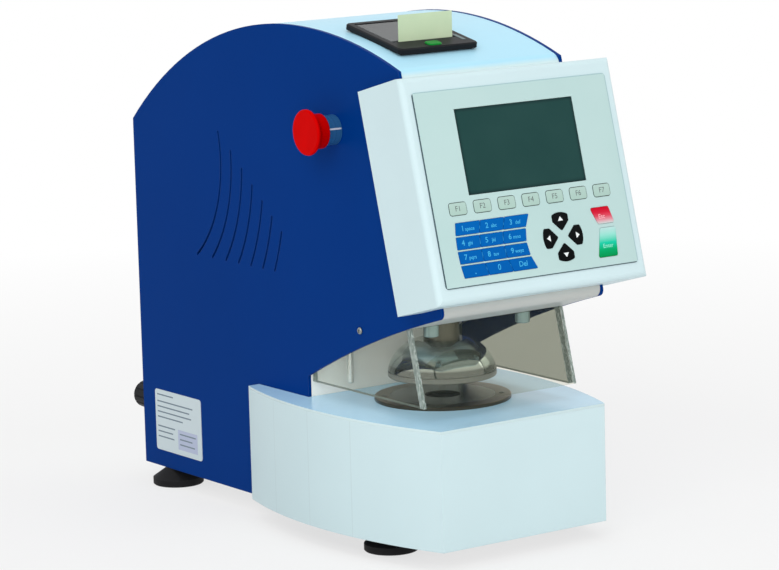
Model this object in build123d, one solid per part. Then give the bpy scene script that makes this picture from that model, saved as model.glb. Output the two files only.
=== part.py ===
from build123d import *
import os
from math import asin, atan2, cos, degrees, radians, sin, sqrt, tan

# Bench bursting strength tester for paper and board. Sizes in millimetres.
# Origin: on the floor, midway between the base front and the rear edge of the
# side plates. +X is the operator's right, +Y runs to the rear, +Z is up.

# Side plates and overall form
body_depth = 482.0
foot_height = 16.0
side_gap = 168.0
side_thickness = 3.0
crown_y = -26.0
crown_height = 451.0
crown_front_radius = 469.0
crown_rear_radius = 393.0
face_tilt = 15.0
nose_overhang = 4.0
nose_height = 217.5
nose_radius = 6.0
throat_depth = 199.5
throat_corner_height = 140.0
throat_arc_rise = 5.3
vent_count = 7
vent_width = 2.5
vent_first_radius = 114.5
vent_pitch = 17.25
vent_centre_inset = 36.0
vent_centre_z = 320.0
vent_foot_z = 229.0
vent_top_inset = 147.0
vent_top_z = 346.5
vent_top_slope = 0.817

# Sheet metal shells
seam = 0.3
sheet = 1.5
rim_proud = 0.4
cover_front_bend = 12.0
cover_front_leg = 26.0
fascia_bend = 8.0
fascia_depth = 52.5
fascia_lap = 6.5
wall_sheet = 2.0
wall_lap = 14.0
edge_break = 0.6
base_sheet = 3.0

# Base and work table
table_height = 121.0
table_thickness = 2.5
table_front_width = 176.8
table_belly = 116.7
table_belly_run = 155.0
table_ear_run = 279.0
skirt_sheet = 2.0

# Clamp
clamp_reach = 121.0
clamp_bore = 31.5
lower_plate_diameter = 121.0
lower_plate_thickness = 3.0
clamp_opening = 17.5
ring_height = 5.5
bell_diameter = 96.0
bell_height = 27.0
bell_top_diameter = 44.0
bell_shoulder_radius = 40.3
bell_shoulder_height = 16.0
bell_wall = 5.0
bell_slope = 30.0
groove_width = 0.7
groove_depth = 0.7
spindle_diameter = 32.0
spindle_clearance = 0.05
spigot_diameter = 16.0
spigot_length = 7.0
beam_height = 205.0
beam_thickness = 14.0
beam_guard_inset = 4.6
beam_wall_gap = 0.5
air_cylinder_width = 96.0
air_cylinder_height = 75.0
air_cylinder_end = 10.0
air_piston_diameter = 80.0
air_piston_height = 12.0
air_port_diameter = 14.0
air_port_length = 12.0
air_port_inset = 8.0
air_cylinder_corner = 8.0
rod_diameter = 6.0
rod_spacing = 100.0
rod_inset = 12.0
rod_foot_gap = 9.7

# Guard
guard_thickness = 5.0
guard_table_gap = 13.7
guard_side_gap = 1.3
guard_fascia_gap = 1.9
guard_top_depth = 37.0
guard_wall_gap = 1.5
guard_rear_top = 165.0
guard_slope_run = 69.0
guard_screw_spacing = 99.0
guard_screw_inset = 13.6
guard_screw_diameter = 8.0
guard_screw_head = 13.0
guard_screw_head_height = 10.5
guard_screw_round = 1.0
guard_socket_radius = 3.5
guard_socket_depth = 4.0
screw_clearance = 0.2

# Hydraulic pump
membrane_thickness = 1.0
neck_diameter = 60.0
pump_flange_diameter = 92.0
pump_flange_thickness = 10.0
pump_axis_drop = 46.5
pump_block_width = 70.0
pump_block_length = 80.0
barrel_diameter = 64.0
barrel_length = 150.0
pump_bore = 40.0
pump_bore_clearance = 0.05
chamber_bore = 32.0
piston_length = 35.0
piston_rest_reach = 152.0
screw_diameter = 16.0
screw_length = 155.0
screw_clearance_radial = 0.1
nut_diameter = 56.0
nut_length = 21.0
nut_hub_diameter = 34.0
motor_width = 80.0
motor_length = 98.0
motor_corner = 6.0
pump_leg_width = 50.0
pump_leg_thickness = 12.0

# Control head
head_width = 223.4
head_height = 192.2
head_depth = 62.0
head_drop = 9.7
head_reach = 33.9
head_wall = 2.0
head_bend = 5.0
head_seat_depth = 33.6
head_ear_low = 100.0
head_ear_high = 168.0
overlay_width = 204.8
overlay_low = 13.0
overlay_high = 178.5
overlay_thickness = 0.8
overlay_corner = 3.0
panel_centre = 0.0
window_width = 125.2
window_height = 73.1
window_low = 88.4
display_border = 4.0
display_thickness = 9.0
board_thickness = 1.6
board_gap = 2.0
board_low = 15.0
board_high = 84.5
board_width = 188.0
board_post = 5.0
board_post_inset = 4.0
board_post_drop = 14.0
chip_size = 30.0
chip_height = 3.0
chip_x = -30.0
driver_size = 18.0
driver_height = 2.5
driver_x = 19.0
chip_s = 44.0
plug_width = 34.0
plug_length = 12.0
plug_x = 67.0
plug_s = 28.0

# Keys on the control head
key_clearance = 0.2
key_proud = 0.4
key_depth = 1.4
key_travel = 0.4
key_corner = 2.0
dome_diameter = 5.0
dome_clearance = 0.2
function_key_count = 7
function_key_pitch = 25.5
function_key_width = 17.4
function_key_height = 10.2
function_key_level = 78.4
number_pad_left = -81.8
number_pad_right = -5.2
number_pad_low = 20.3
number_pad_high = 66.7
number_row_gap = 1.6
number_column_gap = 0.7
number_left_bow = 2.4
number_right_bow = 7.0
arrow_centre_x = 27.0
arrow_centre_s = 43.4
arrow_tip = 5.2
arrow_shoulder = 13.4
arrow_side = 18.9
arrow_apex = 21.0
arrow_half_width = 8.4
arrow_corner = 1.4
number_corner = 0.6
corner_key_radius = 1.5
escape_low = 49.8
escape_high = 64.2
escape_foot_left = 66.6
escape_foot_right = 84.1
escape_head_left = 60.4
escape_head_right = 80.1
enter_low = 21.2
enter_high = 46.2
enter_foot_left = 61.1
enter_foot_right = 81.5
enter_head_left = 67.5
enter_head_right = 84.3

# Emergency stop on the left side plate
stop_setback = 152.6
stop_drop = 82.1
stop_head_diameter = 40.0
stop_head_thickness = 3.4
stop_reach = 29.7
stop_neck_diameter = 30.4
stop_neck_wall = 1.7
stop_collar_diameter = 26.4
stop_collar_height = 14.0
stop_thread_diameter = 22.0
stop_stem_diameter = 10.0
stop_block_width = 28.0
stop_block_depth = 36.0
stop_travel = 4.0
stop_head_round = 1.6
stop_head_back_round = 1.2
stop_head_web = 1.0
stop_bore_slack = 1.0
stop_stem_reach = 7.0
running_clearance = 0.05

# Printer in the top cover
printer_x = -24.0
printer_setback = 122.0
printer_width = 83.0
printer_length = 84.0
printer_rim = 5.0
printer_drop = 44.0
printer_border = 3.5
printer_wall = 2.0
printer_nose = 20.0
printer_corner = 4.0
printer_edge = 1.0
door_thickness = 3.0
door_gap = 0.5
paper_slot = 3.2
paper_width = 57.0
paper_thickness = 0.4
paper_reach = 22.5
paper_lap = 0.2
paper_core_diameter = 12.0
roll_diameter = 36.0
hinge_pin_diameter = 3.0
pin_engagement = 2.5

# Rear services
knob_x = -66.0
knob_z = 74.5
knob_diameter = 26.0
knob_length = 29.5
knob_gap = 4.2
knob_stem_diameter = 8.0
knob_stem_length = 18.0
knob_round = 3.0
knob_groove_count = 12
knob_groove_diameter = 2.0
knob_collar = 5.0
regulator_corner = 5.0
regulator_neck_diameter = 16.0
regulator_width = 32.0
regulator_depth = 40.0
regulator_drop = 38.5
air_inlet_drop = 30.0
air_inlet_diameter = 14.0
air_inlet_bore = 6.0
air_inlet_proud = 8.0
air_inlet_depth = 20.0
inlet_x = 42.0
inlet_z = 78.0
inlet_width = 32.0
inlet_height = 66.0
inlet_flange = 2.5
inlet_depth = 26.0
socket_width = 25.0
socket_height = 18.0
socket_depth = 14.0
socket_drop = 14.5
socket_pin_width = 2.0
socket_pin_height = 4.0
socket_pin_inset = 7.0
socket_pin_side = 7.0
socket_pin_low = -2.0
socket_pin_high = 3.0
inlet_corner = 3.0
switch_width = 19.0
switch_height = 13.0
switch_level = 17.0
switch_proud = 0.6
switch_throw = 14.0
switch_hinge_depth = 4.0
switch_heel = 2.5
switch_taper = 2.0
switch_room = 1.1
switch_well_depth = 13.0

# Feet
foot_diameter = 48.0
foot_rim = 6.5
foot_neck_diameter = 24.0
foot_stud_diameter = 8.0
foot_stud_length = 16.0
foot_edge = 1.0
foot_x = 76.0
foot_front_inset = 94.0
foot_rear_inset = 40.0

# Places worked out from the sizes above
front_y = -body_depth / 2
rear_y = body_depth / 2
inner_x = side_gap / 2
outer_x = inner_x + side_thickness
fit_x = inner_x - seam
tilt = radians(face_tilt)
nose_y = front_y - nose_overhang
throat_y = front_y + throat_depth
table_under = table_height - table_thickness
pump_axis_z = table_under - pump_axis_drop
wall_y = throat_y + wall_sheet
clamp_y = nose_y + clamp_reach
piston_rest_y = clamp_y + piston_rest_reach
guard_front_y = nose_y + fascia_depth + guard_fascia_gap
guard_rear_y = throat_y - guard_wall_gap
guard_slope_y = guard_rear_y - guard_slope_run
guard_screw_y = guard_front_y + guard_screw_inset
beam_front_y = guard_front_y + beam_guard_inset
beam_rear_y = throat_y - beam_wall_gap
rod_y = beam_rear_y - rod_inset
stop_y = nose_y + stop_setback
printer_y = nose_y + printer_setback
table_belly_y = front_y + table_belly_run
table_ear_y = front_y + table_ear_run
foot_front_y = front_y + foot_front_inset
foot_rear_y = rear_y - foot_rear_inset
vent_centre_y = rear_y - vent_centre_inset
vent_top_y = rear_y - vent_top_inset
lower_plate_top = table_height + lower_plate_thickness
ring_under = lower_plate_top + clamp_opening
bell_under = ring_under + ring_height
bell_top = bell_under + bell_height
beam_top = beam_height + beam_thickness
guard_foot = table_height + guard_table_gap
guard_ceiling = beam_height - guard_thickness - seam
cylinder_top = beam_top + air_cylinder_height
def crown_z(y, inset=0.0):
    """Height of the curved top edge at depth y, or of a curve inset below it."""
    radius = crown_front_radius if y < crown_y else crown_rear_radius
    reach = radius - inset
    return crown_height - radius + sqrt(reach**2 - (y - crown_y) ** 2)


def circle_meets_line(centre, radius, point, direction):
    """The two crossings of a line with a circle, in the order of the direction."""
    away = (point[0] - centre[0], point[1] - centre[1])
    size = direction[0] ** 2 + direction[1] ** 2
    half = away[0] * direction[0] + away[1] * direction[1]
    rest = away[0] ** 2 + away[1] ** 2 - radius**2
    root = sqrt(half**2 - size * rest)
    steps = ((-half - root) / size, (-half + root) / size)
    return [(point[0] + t * direction[0], point[1] + t * direction[1]) for t in steps]


stop_z = crown_z(stop_y) - stop_drop


def front_edge_point(z, inset=0.0):
    """Point on the tilted front edge of the side plates, or inset behind it."""
    return (nose_y + (z - nose_height) * tan(tilt) + inset / cos(tilt), z)


def front_top_corner(inset=0.0):
    """Where the tilted front edge meets the crown curve."""
    centre = (crown_y, crown_height - crown_front_radius)
    radius = crown_front_radius - inset
    return circle_meets_line(centre, radius, front_edge_point(nose_height, inset), (sin(tilt), cos(tilt)))[1]


def head_face():
    """Plane of the control head's face, with its origin at the middle of the lower edge."""
    corner = front_top_corner()
    down = head_drop + head_height
    y = corner[0] - down * sin(tilt) - head_reach * cos(tilt)
    z = corner[1] - down * cos(tilt) + head_reach * sin(tilt)
    return Plane(origin=(0, y, z), x_dir=(1, 0, 0), z_dir=(0, -cos(tilt), sin(tilt)))


face_plane = head_face()


def throat_arc():
    """Centre and radius of the arc under the nose, from the nose to the throat."""
    start = (nose_y, nose_height)
    end = (throat_y, throat_corner_height)
    chord = sqrt((end[0] - start[0]) ** 2 + (end[1] - start[1]) ** 2)
    radius = (chord**2 / 4 + throat_arc_rise**2) / (2 * throat_arc_rise)
    middle = ((start[0] + end[0]) / 2, (start[1] + end[1]) / 2)
    normal = (-(end[1] - start[1]) / chord, (end[0] - start[0]) / chord)
    drop = radius - throat_arc_rise
    return (middle[0] - normal[0] * drop, middle[1] - normal[1] * drop), radius


def throat_arc_z(y, inset=0.0):
    """Height of the under-nose arc at depth y, or of a curve inset above it."""
    centre, radius = throat_arc()
    return centre[1] + sqrt((radius + inset) ** 2 - (y - centre[0]) ** 2)


def yz_solid(face, x_start, x_end):
    """A face drawn in (y, z), extruded from x_start to x_end."""
    return extrude(Plane.YZ.offset(x_start) * face, x_end - x_start)


def block(x_low, x_high, y_low, y_high, z_low, z_high):
    """An upright box between two corners."""
    size = (x_high - x_low, y_high - y_low, z_high - z_low)
    middle = ((x_low + x_high) / 2, (y_low + y_high) / 2, (z_low + z_high) / 2)
    return Pos(*middle) * Box(*size)


def face_block(x_low, x_high, s_low, s_high, out_low, out_high):
    """A box in the frame of the control head: across, up the face, outwards."""
    return face_plane * block(x_low, x_high, s_low, s_high, out_low, out_high)


def upright(diameter, x, y, z_low, z_high):
    """An upright round bar."""
    return Pos(x, y, (z_low + z_high) / 2) * Cylinder(diameter / 2, z_high - z_low)


def along_y(diameter, x, z, y_low, y_high):
    """A round bar along Y."""
    return Pos(x, (y_low + y_high) / 2, z) * Rot(90, 0, 0) * Cylinder(diameter / 2, y_high - y_low)


def along_x(diameter, y, z, x_low, x_high):
    """A round bar along X."""
    return Pos((x_low + x_high) / 2, y, z) * Rot(0, 90, 0) * Cylinder(diameter / 2, x_high - x_low)


def vent_slots():
    """Concentric curved slots, from a level foot line up to a sloping line."""
    slots = []
    centre = (vent_centre_y, vent_centre_z)
    for index in range(vent_count):
        radius = vent_first_radius + index * vent_pitch
        foot = asin((vent_centre_z - vent_foot_z) / radius)
        crossing = circle_meets_line(centre, radius, (vent_top_y, vent_top_z), (1, vent_top_slope))[0]
        head = atan2(crossing[1] - vent_centre_z, vent_centre_y - crossing[0])
        start = 180 + degrees(foot)
        sweep = -degrees(foot) - degrees(head)
        slots.append(SlotArc(CenterArc(centre, radius, start, sweep), vent_width))
    return slots


def side_face():
    """Outline of a side plate in (y, z)."""
    corner = front_top_corner()
    rear_top = (rear_y, crown_z(rear_y))
    nose = (nose_y, nose_height)
    throat_top = (throat_y, throat_corner_height)
    rear_mid_y = (rear_y + crown_y) / 2
    front_mid_y = (corner[0] + crown_y) / 2
    under_mid_y = (nose_y + throat_y) / 2
    with BuildSketch() as sketch:
        with BuildLine():
            Line((rear_y, foot_height), rear_top)
            ThreePointArc(rear_top, (rear_mid_y, crown_z(rear_mid_y)), (crown_y, crown_height))
            ThreePointArc((crown_y, crown_height), (front_mid_y, crown_z(front_mid_y)), corner)
            Line(corner, nose)
            ThreePointArc(nose, (under_mid_y, throat_arc_z(under_mid_y)), throat_top)
            Polyline(
                throat_top,
                (throat_y, table_under),
                (front_y + skirt_sheet, table_under),
                (front_y + skirt_sheet, foot_height),
                (rear_y, foot_height),
            )
        make_face()
        fillet(sketch.vertices().sort_by_distance((nose_y, nose_height, 0))[0], nose_radius)
    return sketch.sketch


def side_plates():
    """Left and right side plates with their vents and the stop button's hole."""
    face = side_face()
    for slot in vent_slots():
        face -= slot
    left_face = face - Pos(stop_y, stop_z) * Circle(stop_thread_diameter / 2 + screw_clearance)
    left = yz_solid(left_face, -outer_x, -inner_x)
    right = yz_solid(face, inner_x, outer_x)
    return left, right


def cover_region(inset):
    """Area under the top curve and inside the rear edge, inset from the plate edges."""
    corner = front_top_corner(inset)
    back = rear_y - inset
    rear_mid_y = (back + crown_y) / 2
    front_mid_y = (corner[0] + crown_y) / 2
    low_front = front_edge_point(corner[1] - 2 * cover_front_leg, inset)
    with BuildSketch() as sketch:
        with BuildLine():
            Line((back, 0), (back, crown_z(back, inset)))
            ThreePointArc(
                (back, crown_z(back, inset)),
                (rear_mid_y, crown_z(rear_mid_y, inset)),
                (crown_y, crown_height - inset),
            )
            ThreePointArc(
                (crown_y, crown_height - inset),
                (front_mid_y, crown_z(front_mid_y, inset)),
                corner,
            )
            Polyline(corner, low_front, (low_front[0], 0), (back, 0))
        make_face()
        fillet(sketch.vertices().sort_by_distance((*corner, 0))[0], cover_front_bend - inset)
    return sketch.sketch


def top_rear_cover():
    """One bent sheet: down behind the head, over the crown and down the rear."""
    corner = front_top_corner(rim_proud)
    sheet_face = cover_region(rim_proud) - cover_region(rim_proud + sheet)
    cover = yz_solid(sheet_face, -fit_x, fit_x)
    cover -= block(-outer_x, outer_x, nose_y, crown_y, 0, corner[1] - cover_front_leg)
    cover -= block(-outer_x, outer_x, crown_y, rear_y, 0, foot_height)
    cover -= printer_frame() * block(
        -printer_width / 2 + printer_border,
        printer_width / 2 - printer_border,
        -printer_length / 2 + printer_border,
        printer_length / 2 - printer_border,
        -printer_drop,
        printer_rim,
    )
    inside = rear_y - rim_proud - 2 * sheet
    cover -= along_y(regulator_neck_diameter + 2 * seam, knob_x, knob_z, inside, rear_y)
    cover -= along_y(air_inlet_diameter + 2 * seam, knob_x, knob_z - air_inlet_drop, inside, rear_y)
    cover -= block(
        inlet_x - inlet_width / 2 + inlet_flange,
        inlet_x + inlet_width / 2 - inlet_flange,
        inside,
        rear_y,
        inlet_z - inlet_height / 2 + inlet_flange,
        inlet_z + inlet_height / 2 - inlet_flange,
    )
    return cover


def nose_region(inset, top, rear):
    """Area behind the front edge and above the under-nose arc, inset from both."""
    centre, radius = throat_arc()
    radius += inset
    nose = front_edge_point(nose_height, inset)
    corner = circle_meets_line(centre, radius, nose, (sin(tilt), cos(tilt)))[1]
    high = front_edge_point(top, inset)
    middle_y = (corner[0] + rear) / 2
    low = throat_arc_z(rear, inset)
    with BuildSketch() as sketch:
        with BuildLine():
            Line(high, corner)
            ThreePointArc(corner, (middle_y, throat_arc_z(middle_y, inset)), (rear, low))
            Polyline((rear, low), (rear, top), high)
        make_face()
        fillet(sketch.vertices().sort_by_distance((*corner, 0))[0], fascia_bend - inset)
    return sketch.sketch


def front_fascia():
    """Bent strip between the plate noses: front face, roll and underside flange."""
    rear = nose_y + fascia_depth
    top = face_plane.origin.Z + fascia_lap
    outer = nose_region(0, top, rear)
    inner = nose_region(sheet, top + sheet, rear + sheet)
    return yz_solid(outer - inner, -fit_x, fit_x)


def throat_wall():
    """Upright sheet behind the clamp, between the side plates."""
    return block(-fit_x, fit_x, throat_y, wall_y, table_under - wall_lap, beam_height)


def base_plate():
    """Bottom plate between the side plates, with the foot stud holes."""
    top = foot_height + base_sheet
    hole = foot_stud_diameter + 2 * screw_clearance
    plate = block(-fit_x, fit_x, front_y + skirt_sheet, rear_y - rim_proud - sheet, foot_height, top)
    for x in (-foot_x, foot_x):
        for y in (foot_front_y, foot_rear_y):
            plate -= upright(hole, x, y, foot_height, top)
    return plate


def belly_x(y, inset=0.0):
    """Half width of the bellied base at depth y."""
    run = table_belly_y - front_y
    rise = table_belly - table_front_width / 2
    radius = (run**2 + rise**2) / (2 * rise)
    return table_belly - radius + sqrt((radius - inset) ** 2 - (y - table_belly_y) ** 2)


def base_face(inset=0.0):
    """Plan of the base: straight front, bellied sides, straight rear."""
    low = front_y + inset
    high = table_ear_y - inset
    middle = table_belly_y
    with BuildSketch() as sketch:
        with BuildLine():
            Line((-belly_x(low, inset), low), (belly_x(low, inset), low))
            ThreePointArc(
                (belly_x(low, inset), low), (belly_x(middle, inset), middle), (belly_x(high, inset), high)
            )
            Line((belly_x(high, inset), high), (-belly_x(high, inset), high))
            ThreePointArc(
                (-belly_x(high, inset), high), (-belly_x(middle, inset), middle), (-belly_x(low, inset), low)
            )
        make_face()
    return sketch.sketch


def base_skirt():
    """Curved sheet skirt round the base, open behind where the body stands."""
    height = table_under - foot_height
    wall = extrude(base_face(), height) - extrude(base_face(skirt_sheet), height)
    wall = Pos(0, 0, foot_height) * wall
    body_slot = outer_x + seam
    return wall - block(-body_slot, body_slot, table_belly_y, rear_y, foot_height, table_under)


def work_table():
    """Table top with a slot for the body and a hole for the pump neck."""
    top = Pos(0, 0, table_under) * extrude(base_face(), table_thickness)
    body_slot = outer_x + seam
    top -= block(-body_slot, body_slot, throat_y - seam, rear_y, table_under, table_height)
    top -= upright(neck_diameter + 2 * seam, 0, clamp_y, table_under, table_height)
    return top


def clamp_beam():
    """Cross beam between the side plates, bored for the spindle, screws and rods."""
    beam = block(-fit_x, fit_x, beam_front_y, beam_rear_y, beam_height, beam_top)
    beam -= upright(spindle_diameter + 2 * spindle_clearance, 0, clamp_y, beam_height, beam_top)
    for side in (-0.5, 0.5):
        hole = guard_screw_diameter + 2 * screw_clearance
        beam -= upright(hole, side * guard_screw_spacing, guard_screw_y, beam_height, beam_top)
        beam -= upright(rod_diameter + 2 * screw_clearance, side * rod_spacing, rod_y, beam_height, beam_top)
    return beam


def guide_rods():
    """Two thin rods that hang from the beam behind the clamp."""
    rods = []
    for side in (-0.5, 0.5):
        rod = upright(rod_diameter, side * rod_spacing, rod_y, table_height + rod_foot_gap, beam_top)
        rods.append(chamfer(rod.edges().group_by(Axis.Z)[0], edge_break).solid())
    return Compound(rods)


def air_cylinder():
    """Short square cylinder on the beam, hollow for the clamp piston."""
    half = air_cylinder_width / 2
    body = block(-half, half, clamp_y - half, clamp_y + half, beam_top, cylinder_top)
    body = fillet(body.edges().filter_by(Axis.Z), air_cylinder_corner)
    low = beam_top + air_cylinder_end
    high = cylinder_top - air_cylinder_end
    body -= upright(air_piston_diameter, 0, clamp_y, low, high)
    body -= upright(spindle_diameter + 2 * spindle_clearance, 0, clamp_y, beam_top, low)
    for z in (low + air_port_inset, high - air_port_inset):
        body += along_y(air_port_diameter, 0, z, clamp_y + half, clamp_y + half + air_port_length)
    return body


def clamp_spindle():
    """Spindle with its air piston above and a spigot into the bell below."""
    piston_top = cylinder_top - air_cylinder_end - seam
    piston_low = piston_top - air_piston_height
    spindle = upright(spindle_diameter, 0, clamp_y, bell_top, piston_low)
    spindle += upright(air_piston_diameter - 2 * spindle_clearance, 0, clamp_y, piston_low, piston_top)
    spindle += upright(spigot_diameter, 0, clamp_y, bell_top - spigot_length, bell_top)
    return spindle


def bell_profile(inset):
    """Half section of the bell as a filled shape, inset for the hollow."""
    rim = bell_diameter / 2 - inset
    top_radius = bell_top_diameter / 2 - inset * sin(radians(bell_slope))
    shoulder = bell_shoulder_radius - inset * cos(radians(bell_slope))
    low = bell_under
    with BuildSketch() as sketch:
        with BuildLine():
            Line((0, low), (rim, low))
            ThreePointArc(
                (rim, low),
                (shoulder, low + bell_shoulder_height - inset * sin(radians(bell_slope))),
                (top_radius, bell_top - inset),
            )
            Polyline((top_radius, bell_top - inset), (0, bell_top - inset), (0, low))
        make_face()
    return sketch.sketch


def clamp_bell():
    """Polished bell: a domed shell on a clamping ring, with a spigot hole in its crown."""
    section = bell_profile(0) - bell_profile(bell_wall)
    bell = revolve(Plane.XZ * section, Axis.Z)
    bell = Pos(0, clamp_y, 0) * bell
    bell -= upright(spigot_diameter + 2 * screw_clearance, 0, clamp_y, bell_under, bell_top)
    ring = upright(bell_diameter, 0, clamp_y, ring_under, bell_under)
    ring = chamfer(ring.edges().group_by(Axis.Z)[0], edge_break)
    ring -= upright(clamp_bore, 0, clamp_y, ring_under, bell_under)
    groove = upright(bell_diameter, 0, clamp_y, bell_under - groove_width, bell_under)
    groove -= upright(bell_diameter - 2 * groove_depth, 0, clamp_y, bell_under - groove_width, bell_under)
    return bell + ring - groove


def lower_clamp_plate():
    """Polished disc on the table, with the test aperture."""
    disc = upright(lower_plate_diameter, 0, clamp_y, table_height, lower_plate_top)
    disc = chamfer(disc.edges().group_by(Axis.Z)[-1], edge_break)
    return disc - upright(clamp_bore, 0, clamp_y, table_height, lower_plate_top)


def diaphragm():
    """Rubber diaphragm held under the lower clamp plate."""
    return upright(neck_diameter, 0, clamp_y, table_height - membrane_thickness, table_height)


def pump_body():
    """Pressure chamber under the clamp, with the pump barrel running to the rear."""
    floor = foot_height + base_sheet
    half_width = pump_block_width / 2
    half_length = pump_block_length / 2
    barrel_start = clamp_y + half_length
    barrel_end = barrel_start + barrel_length
    neck_top = table_height - membrane_thickness
    flange_low = table_under - pump_flange_thickness
    body = block(-half_width, half_width, clamp_y - half_length, clamp_y + half_length, floor, flange_low)
    body += upright(pump_flange_diameter, 0, clamp_y, flange_low, table_under)
    body += upright(neck_diameter, 0, clamp_y, flange_low, neck_top)
    body += along_y(barrel_diameter, 0, pump_axis_z, clamp_y, barrel_end)
    leg_half = pump_leg_width / 2
    body += block(-leg_half, leg_half, barrel_end - pump_leg_thickness, barrel_end, floor, pump_axis_z)
    body -= along_y(pump_bore, 0, pump_axis_z, clamp_y, barrel_end)
    body -= upright(chamber_bore, 0, clamp_y, pump_axis_z, neck_top)
    return body


def pump_barrel_end():
    """Rear face of the pump barrel."""
    return clamp_y + pump_block_length / 2 + barrel_length


def pump_piston():
    """Piston with its feed screw."""
    rear = piston_rest_y + piston_length
    piston = along_y(pump_bore - 2 * pump_bore_clearance, 0, pump_axis_z, piston_rest_y, rear)
    piston += along_y(screw_diameter, 0, pump_axis_z, rear, rear + screw_length)
    return piston


def drive_nut():
    """Flanged nut that turns between the barrel and the motor."""
    start = pump_barrel_end() + seam
    hole = screw_diameter + 2 * screw_clearance_radial
    nut = along_y(nut_diameter, 0, pump_axis_z, start, start + nut_length / 2)
    nut += along_y(nut_hub_diameter, 0, pump_axis_z, start + nut_length / 2, start + nut_length)
    return nut - along_y(hole, 0, pump_axis_z, start, start + nut_length)


def pump_motor():
    """Hollow-shaft gear motor standing on the base plate."""
    start = pump_barrel_end() + nut_length + 2 * seam
    end = start + motor_length
    half = motor_width / 2
    motor = block(-half, half, start, end, pump_axis_z - half, pump_axis_z + half)
    motor = fillet(motor.edges().filter_by(Axis.Y), motor_corner)
    leg_half = pump_leg_width / 2
    motor += block(-leg_half, leg_half, start, end, foot_height + base_sheet, pump_axis_z)
    hole = screw_diameter + 4 * screw_clearance_radial
    return motor - along_y(hole, 0, pump_axis_z, start, end)


def guard_front_line(z, inset=0.0):
    """Depth of the tilted front of the guard at height z."""
    return guard_front_y + (z - guard_ceiling - guard_thickness) * tan(tilt) + inset / cos(tilt)


def guard_panes():
    """Clear guard: front, top and two side panes, bonded at their edges."""
    top = guard_ceiling + guard_thickness
    low = guard_foot
    outside = inner_x - guard_side_gap
    inner = outside - guard_thickness
    front = yz_solid(
        make_face(
            Polyline(
                (guard_front_line(low), low),
                (guard_front_line(top), top),
                (guard_front_line(top, guard_thickness), top),
                (guard_front_line(low, guard_thickness), low),
                close=True,
            )
        ),
        -outside,
        outside,
    )
    ceiling = yz_solid(
        make_face(
            Polyline(
                (guard_front_line(guard_ceiling, guard_thickness), guard_ceiling),
                (guard_front_line(top, guard_thickness), top),
                (guard_front_y + guard_top_depth, top),
                (guard_front_y + guard_top_depth, guard_ceiling),
                close=True,
            )
        ),
        -outside,
        outside,
    )
    for side in (-0.5, 0.5):
        hole = guard_screw_diameter + 2 * screw_clearance
        ceiling -= upright(hole, side * guard_screw_spacing, guard_screw_y, guard_ceiling, top)
    cheek_face = make_face(
        Polyline(
            (guard_front_line(low, guard_thickness), low),
            (guard_front_line(guard_ceiling, guard_thickness), guard_ceiling),
            (guard_slope_y, guard_ceiling),
            (guard_rear_y, guard_rear_top),
            (guard_rear_y, low),
            close=True,
        )
    )
    left = yz_solid(cheek_face, -outside, -inner)
    right = yz_solid(cheek_face, inner, outside)
    return Compound([pane.solid() for pane in (front, ceiling, left, right)])


def guard_screws():
    """Cap screws that hang the guard under the beam."""
    screws = []
    for side in (-0.5, 0.5):
        x = side * guard_screw_spacing
        head_low = guard_ceiling - guard_screw_head_height
        screw = upright(guard_screw_diameter, x, guard_screw_y, guard_ceiling, beam_top)
        head = upright(guard_screw_head, x, guard_screw_y, head_low, guard_ceiling)
        head = fillet(head.edges().group_by(Axis.Z)[0], guard_screw_round)
        hexagon = RegularPolygon(guard_socket_radius, 6)
        socket = extrude(Pos(x, guard_screw_y, head_low) * hexagon, guard_socket_depth)
        screws.append((screw + head - socket).solid())
    return Compound(screws)


def rounded(points, radius):
    """Closed outline with all corners rounded."""
    with BuildSketch() as sketch:
        with BuildLine():
            Polyline(*points, close=True)
        make_face()
        fillet(sketch.vertices(), radius)
    return sketch.sketch


def bowed_x(x_edge, bow, s):
    """Across position of a bowed upright line of the number pad at height s."""
    middle = (number_pad_low + number_pad_high) / 2
    half = (number_pad_high - number_pad_low) / 2
    return x_edge - bow * (1 - ((s - middle) / half) ** 2)


def number_key_face(row, column):
    """Outline of a number key, row 0 at the bottom, column 0 at the left."""
    pitch = (number_pad_high - number_pad_low + number_row_gap) / 4
    low = number_pad_low + row * pitch
    high = low + pitch - number_row_gap
    width = (number_pad_right - number_pad_left) / 3
    bow_step = (number_right_bow - number_left_bow) / 3
    left = number_pad_left + column * width
    right = left + width
    left_bow = number_left_bow + column * bow_step
    right_bow = left_bow + bow_step
    gap = number_column_gap / 2
    left_gap = gap if column > 0 else 0.0
    right_gap = gap if column < 2 else 0.0
    points = (
        (bowed_x(left, left_bow, low) + left_gap, low),
        (bowed_x(right, right_bow, low) - right_gap, low),
        (bowed_x(right, right_bow, high) - right_gap, high),
        (bowed_x(left, left_bow, high) + left_gap, high),
    )
    return rounded(points, number_corner)


def function_key_face(index):
    """Outline of a function key, counted from the left."""
    across = panel_centre + (index - (function_key_count - 1) / 2) * function_key_pitch
    key = RectangleRounded(function_key_width, function_key_height, key_corner)
    return Pos(across, function_key_level) * key


def arrow_key_face(turn):
    """Outline of an arrow key, pointed towards the middle of its cluster."""
    with BuildSketch() as sketch:
        with BuildLine():
            Polyline(
                (-arrow_half_width, arrow_side),
                (-arrow_half_width, arrow_shoulder),
                (0, arrow_tip),
                (arrow_half_width, arrow_shoulder),
                (arrow_half_width, arrow_side),
            )
            ThreePointArc((arrow_half_width, arrow_side), (0, arrow_apex), (-arrow_half_width, arrow_side))
        make_face()
        fillet(sketch.vertices(), arrow_corner)
    return Pos(arrow_centre_x, arrow_centre_s) * Rot(0, 0, turn) * sketch.sketch


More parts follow.
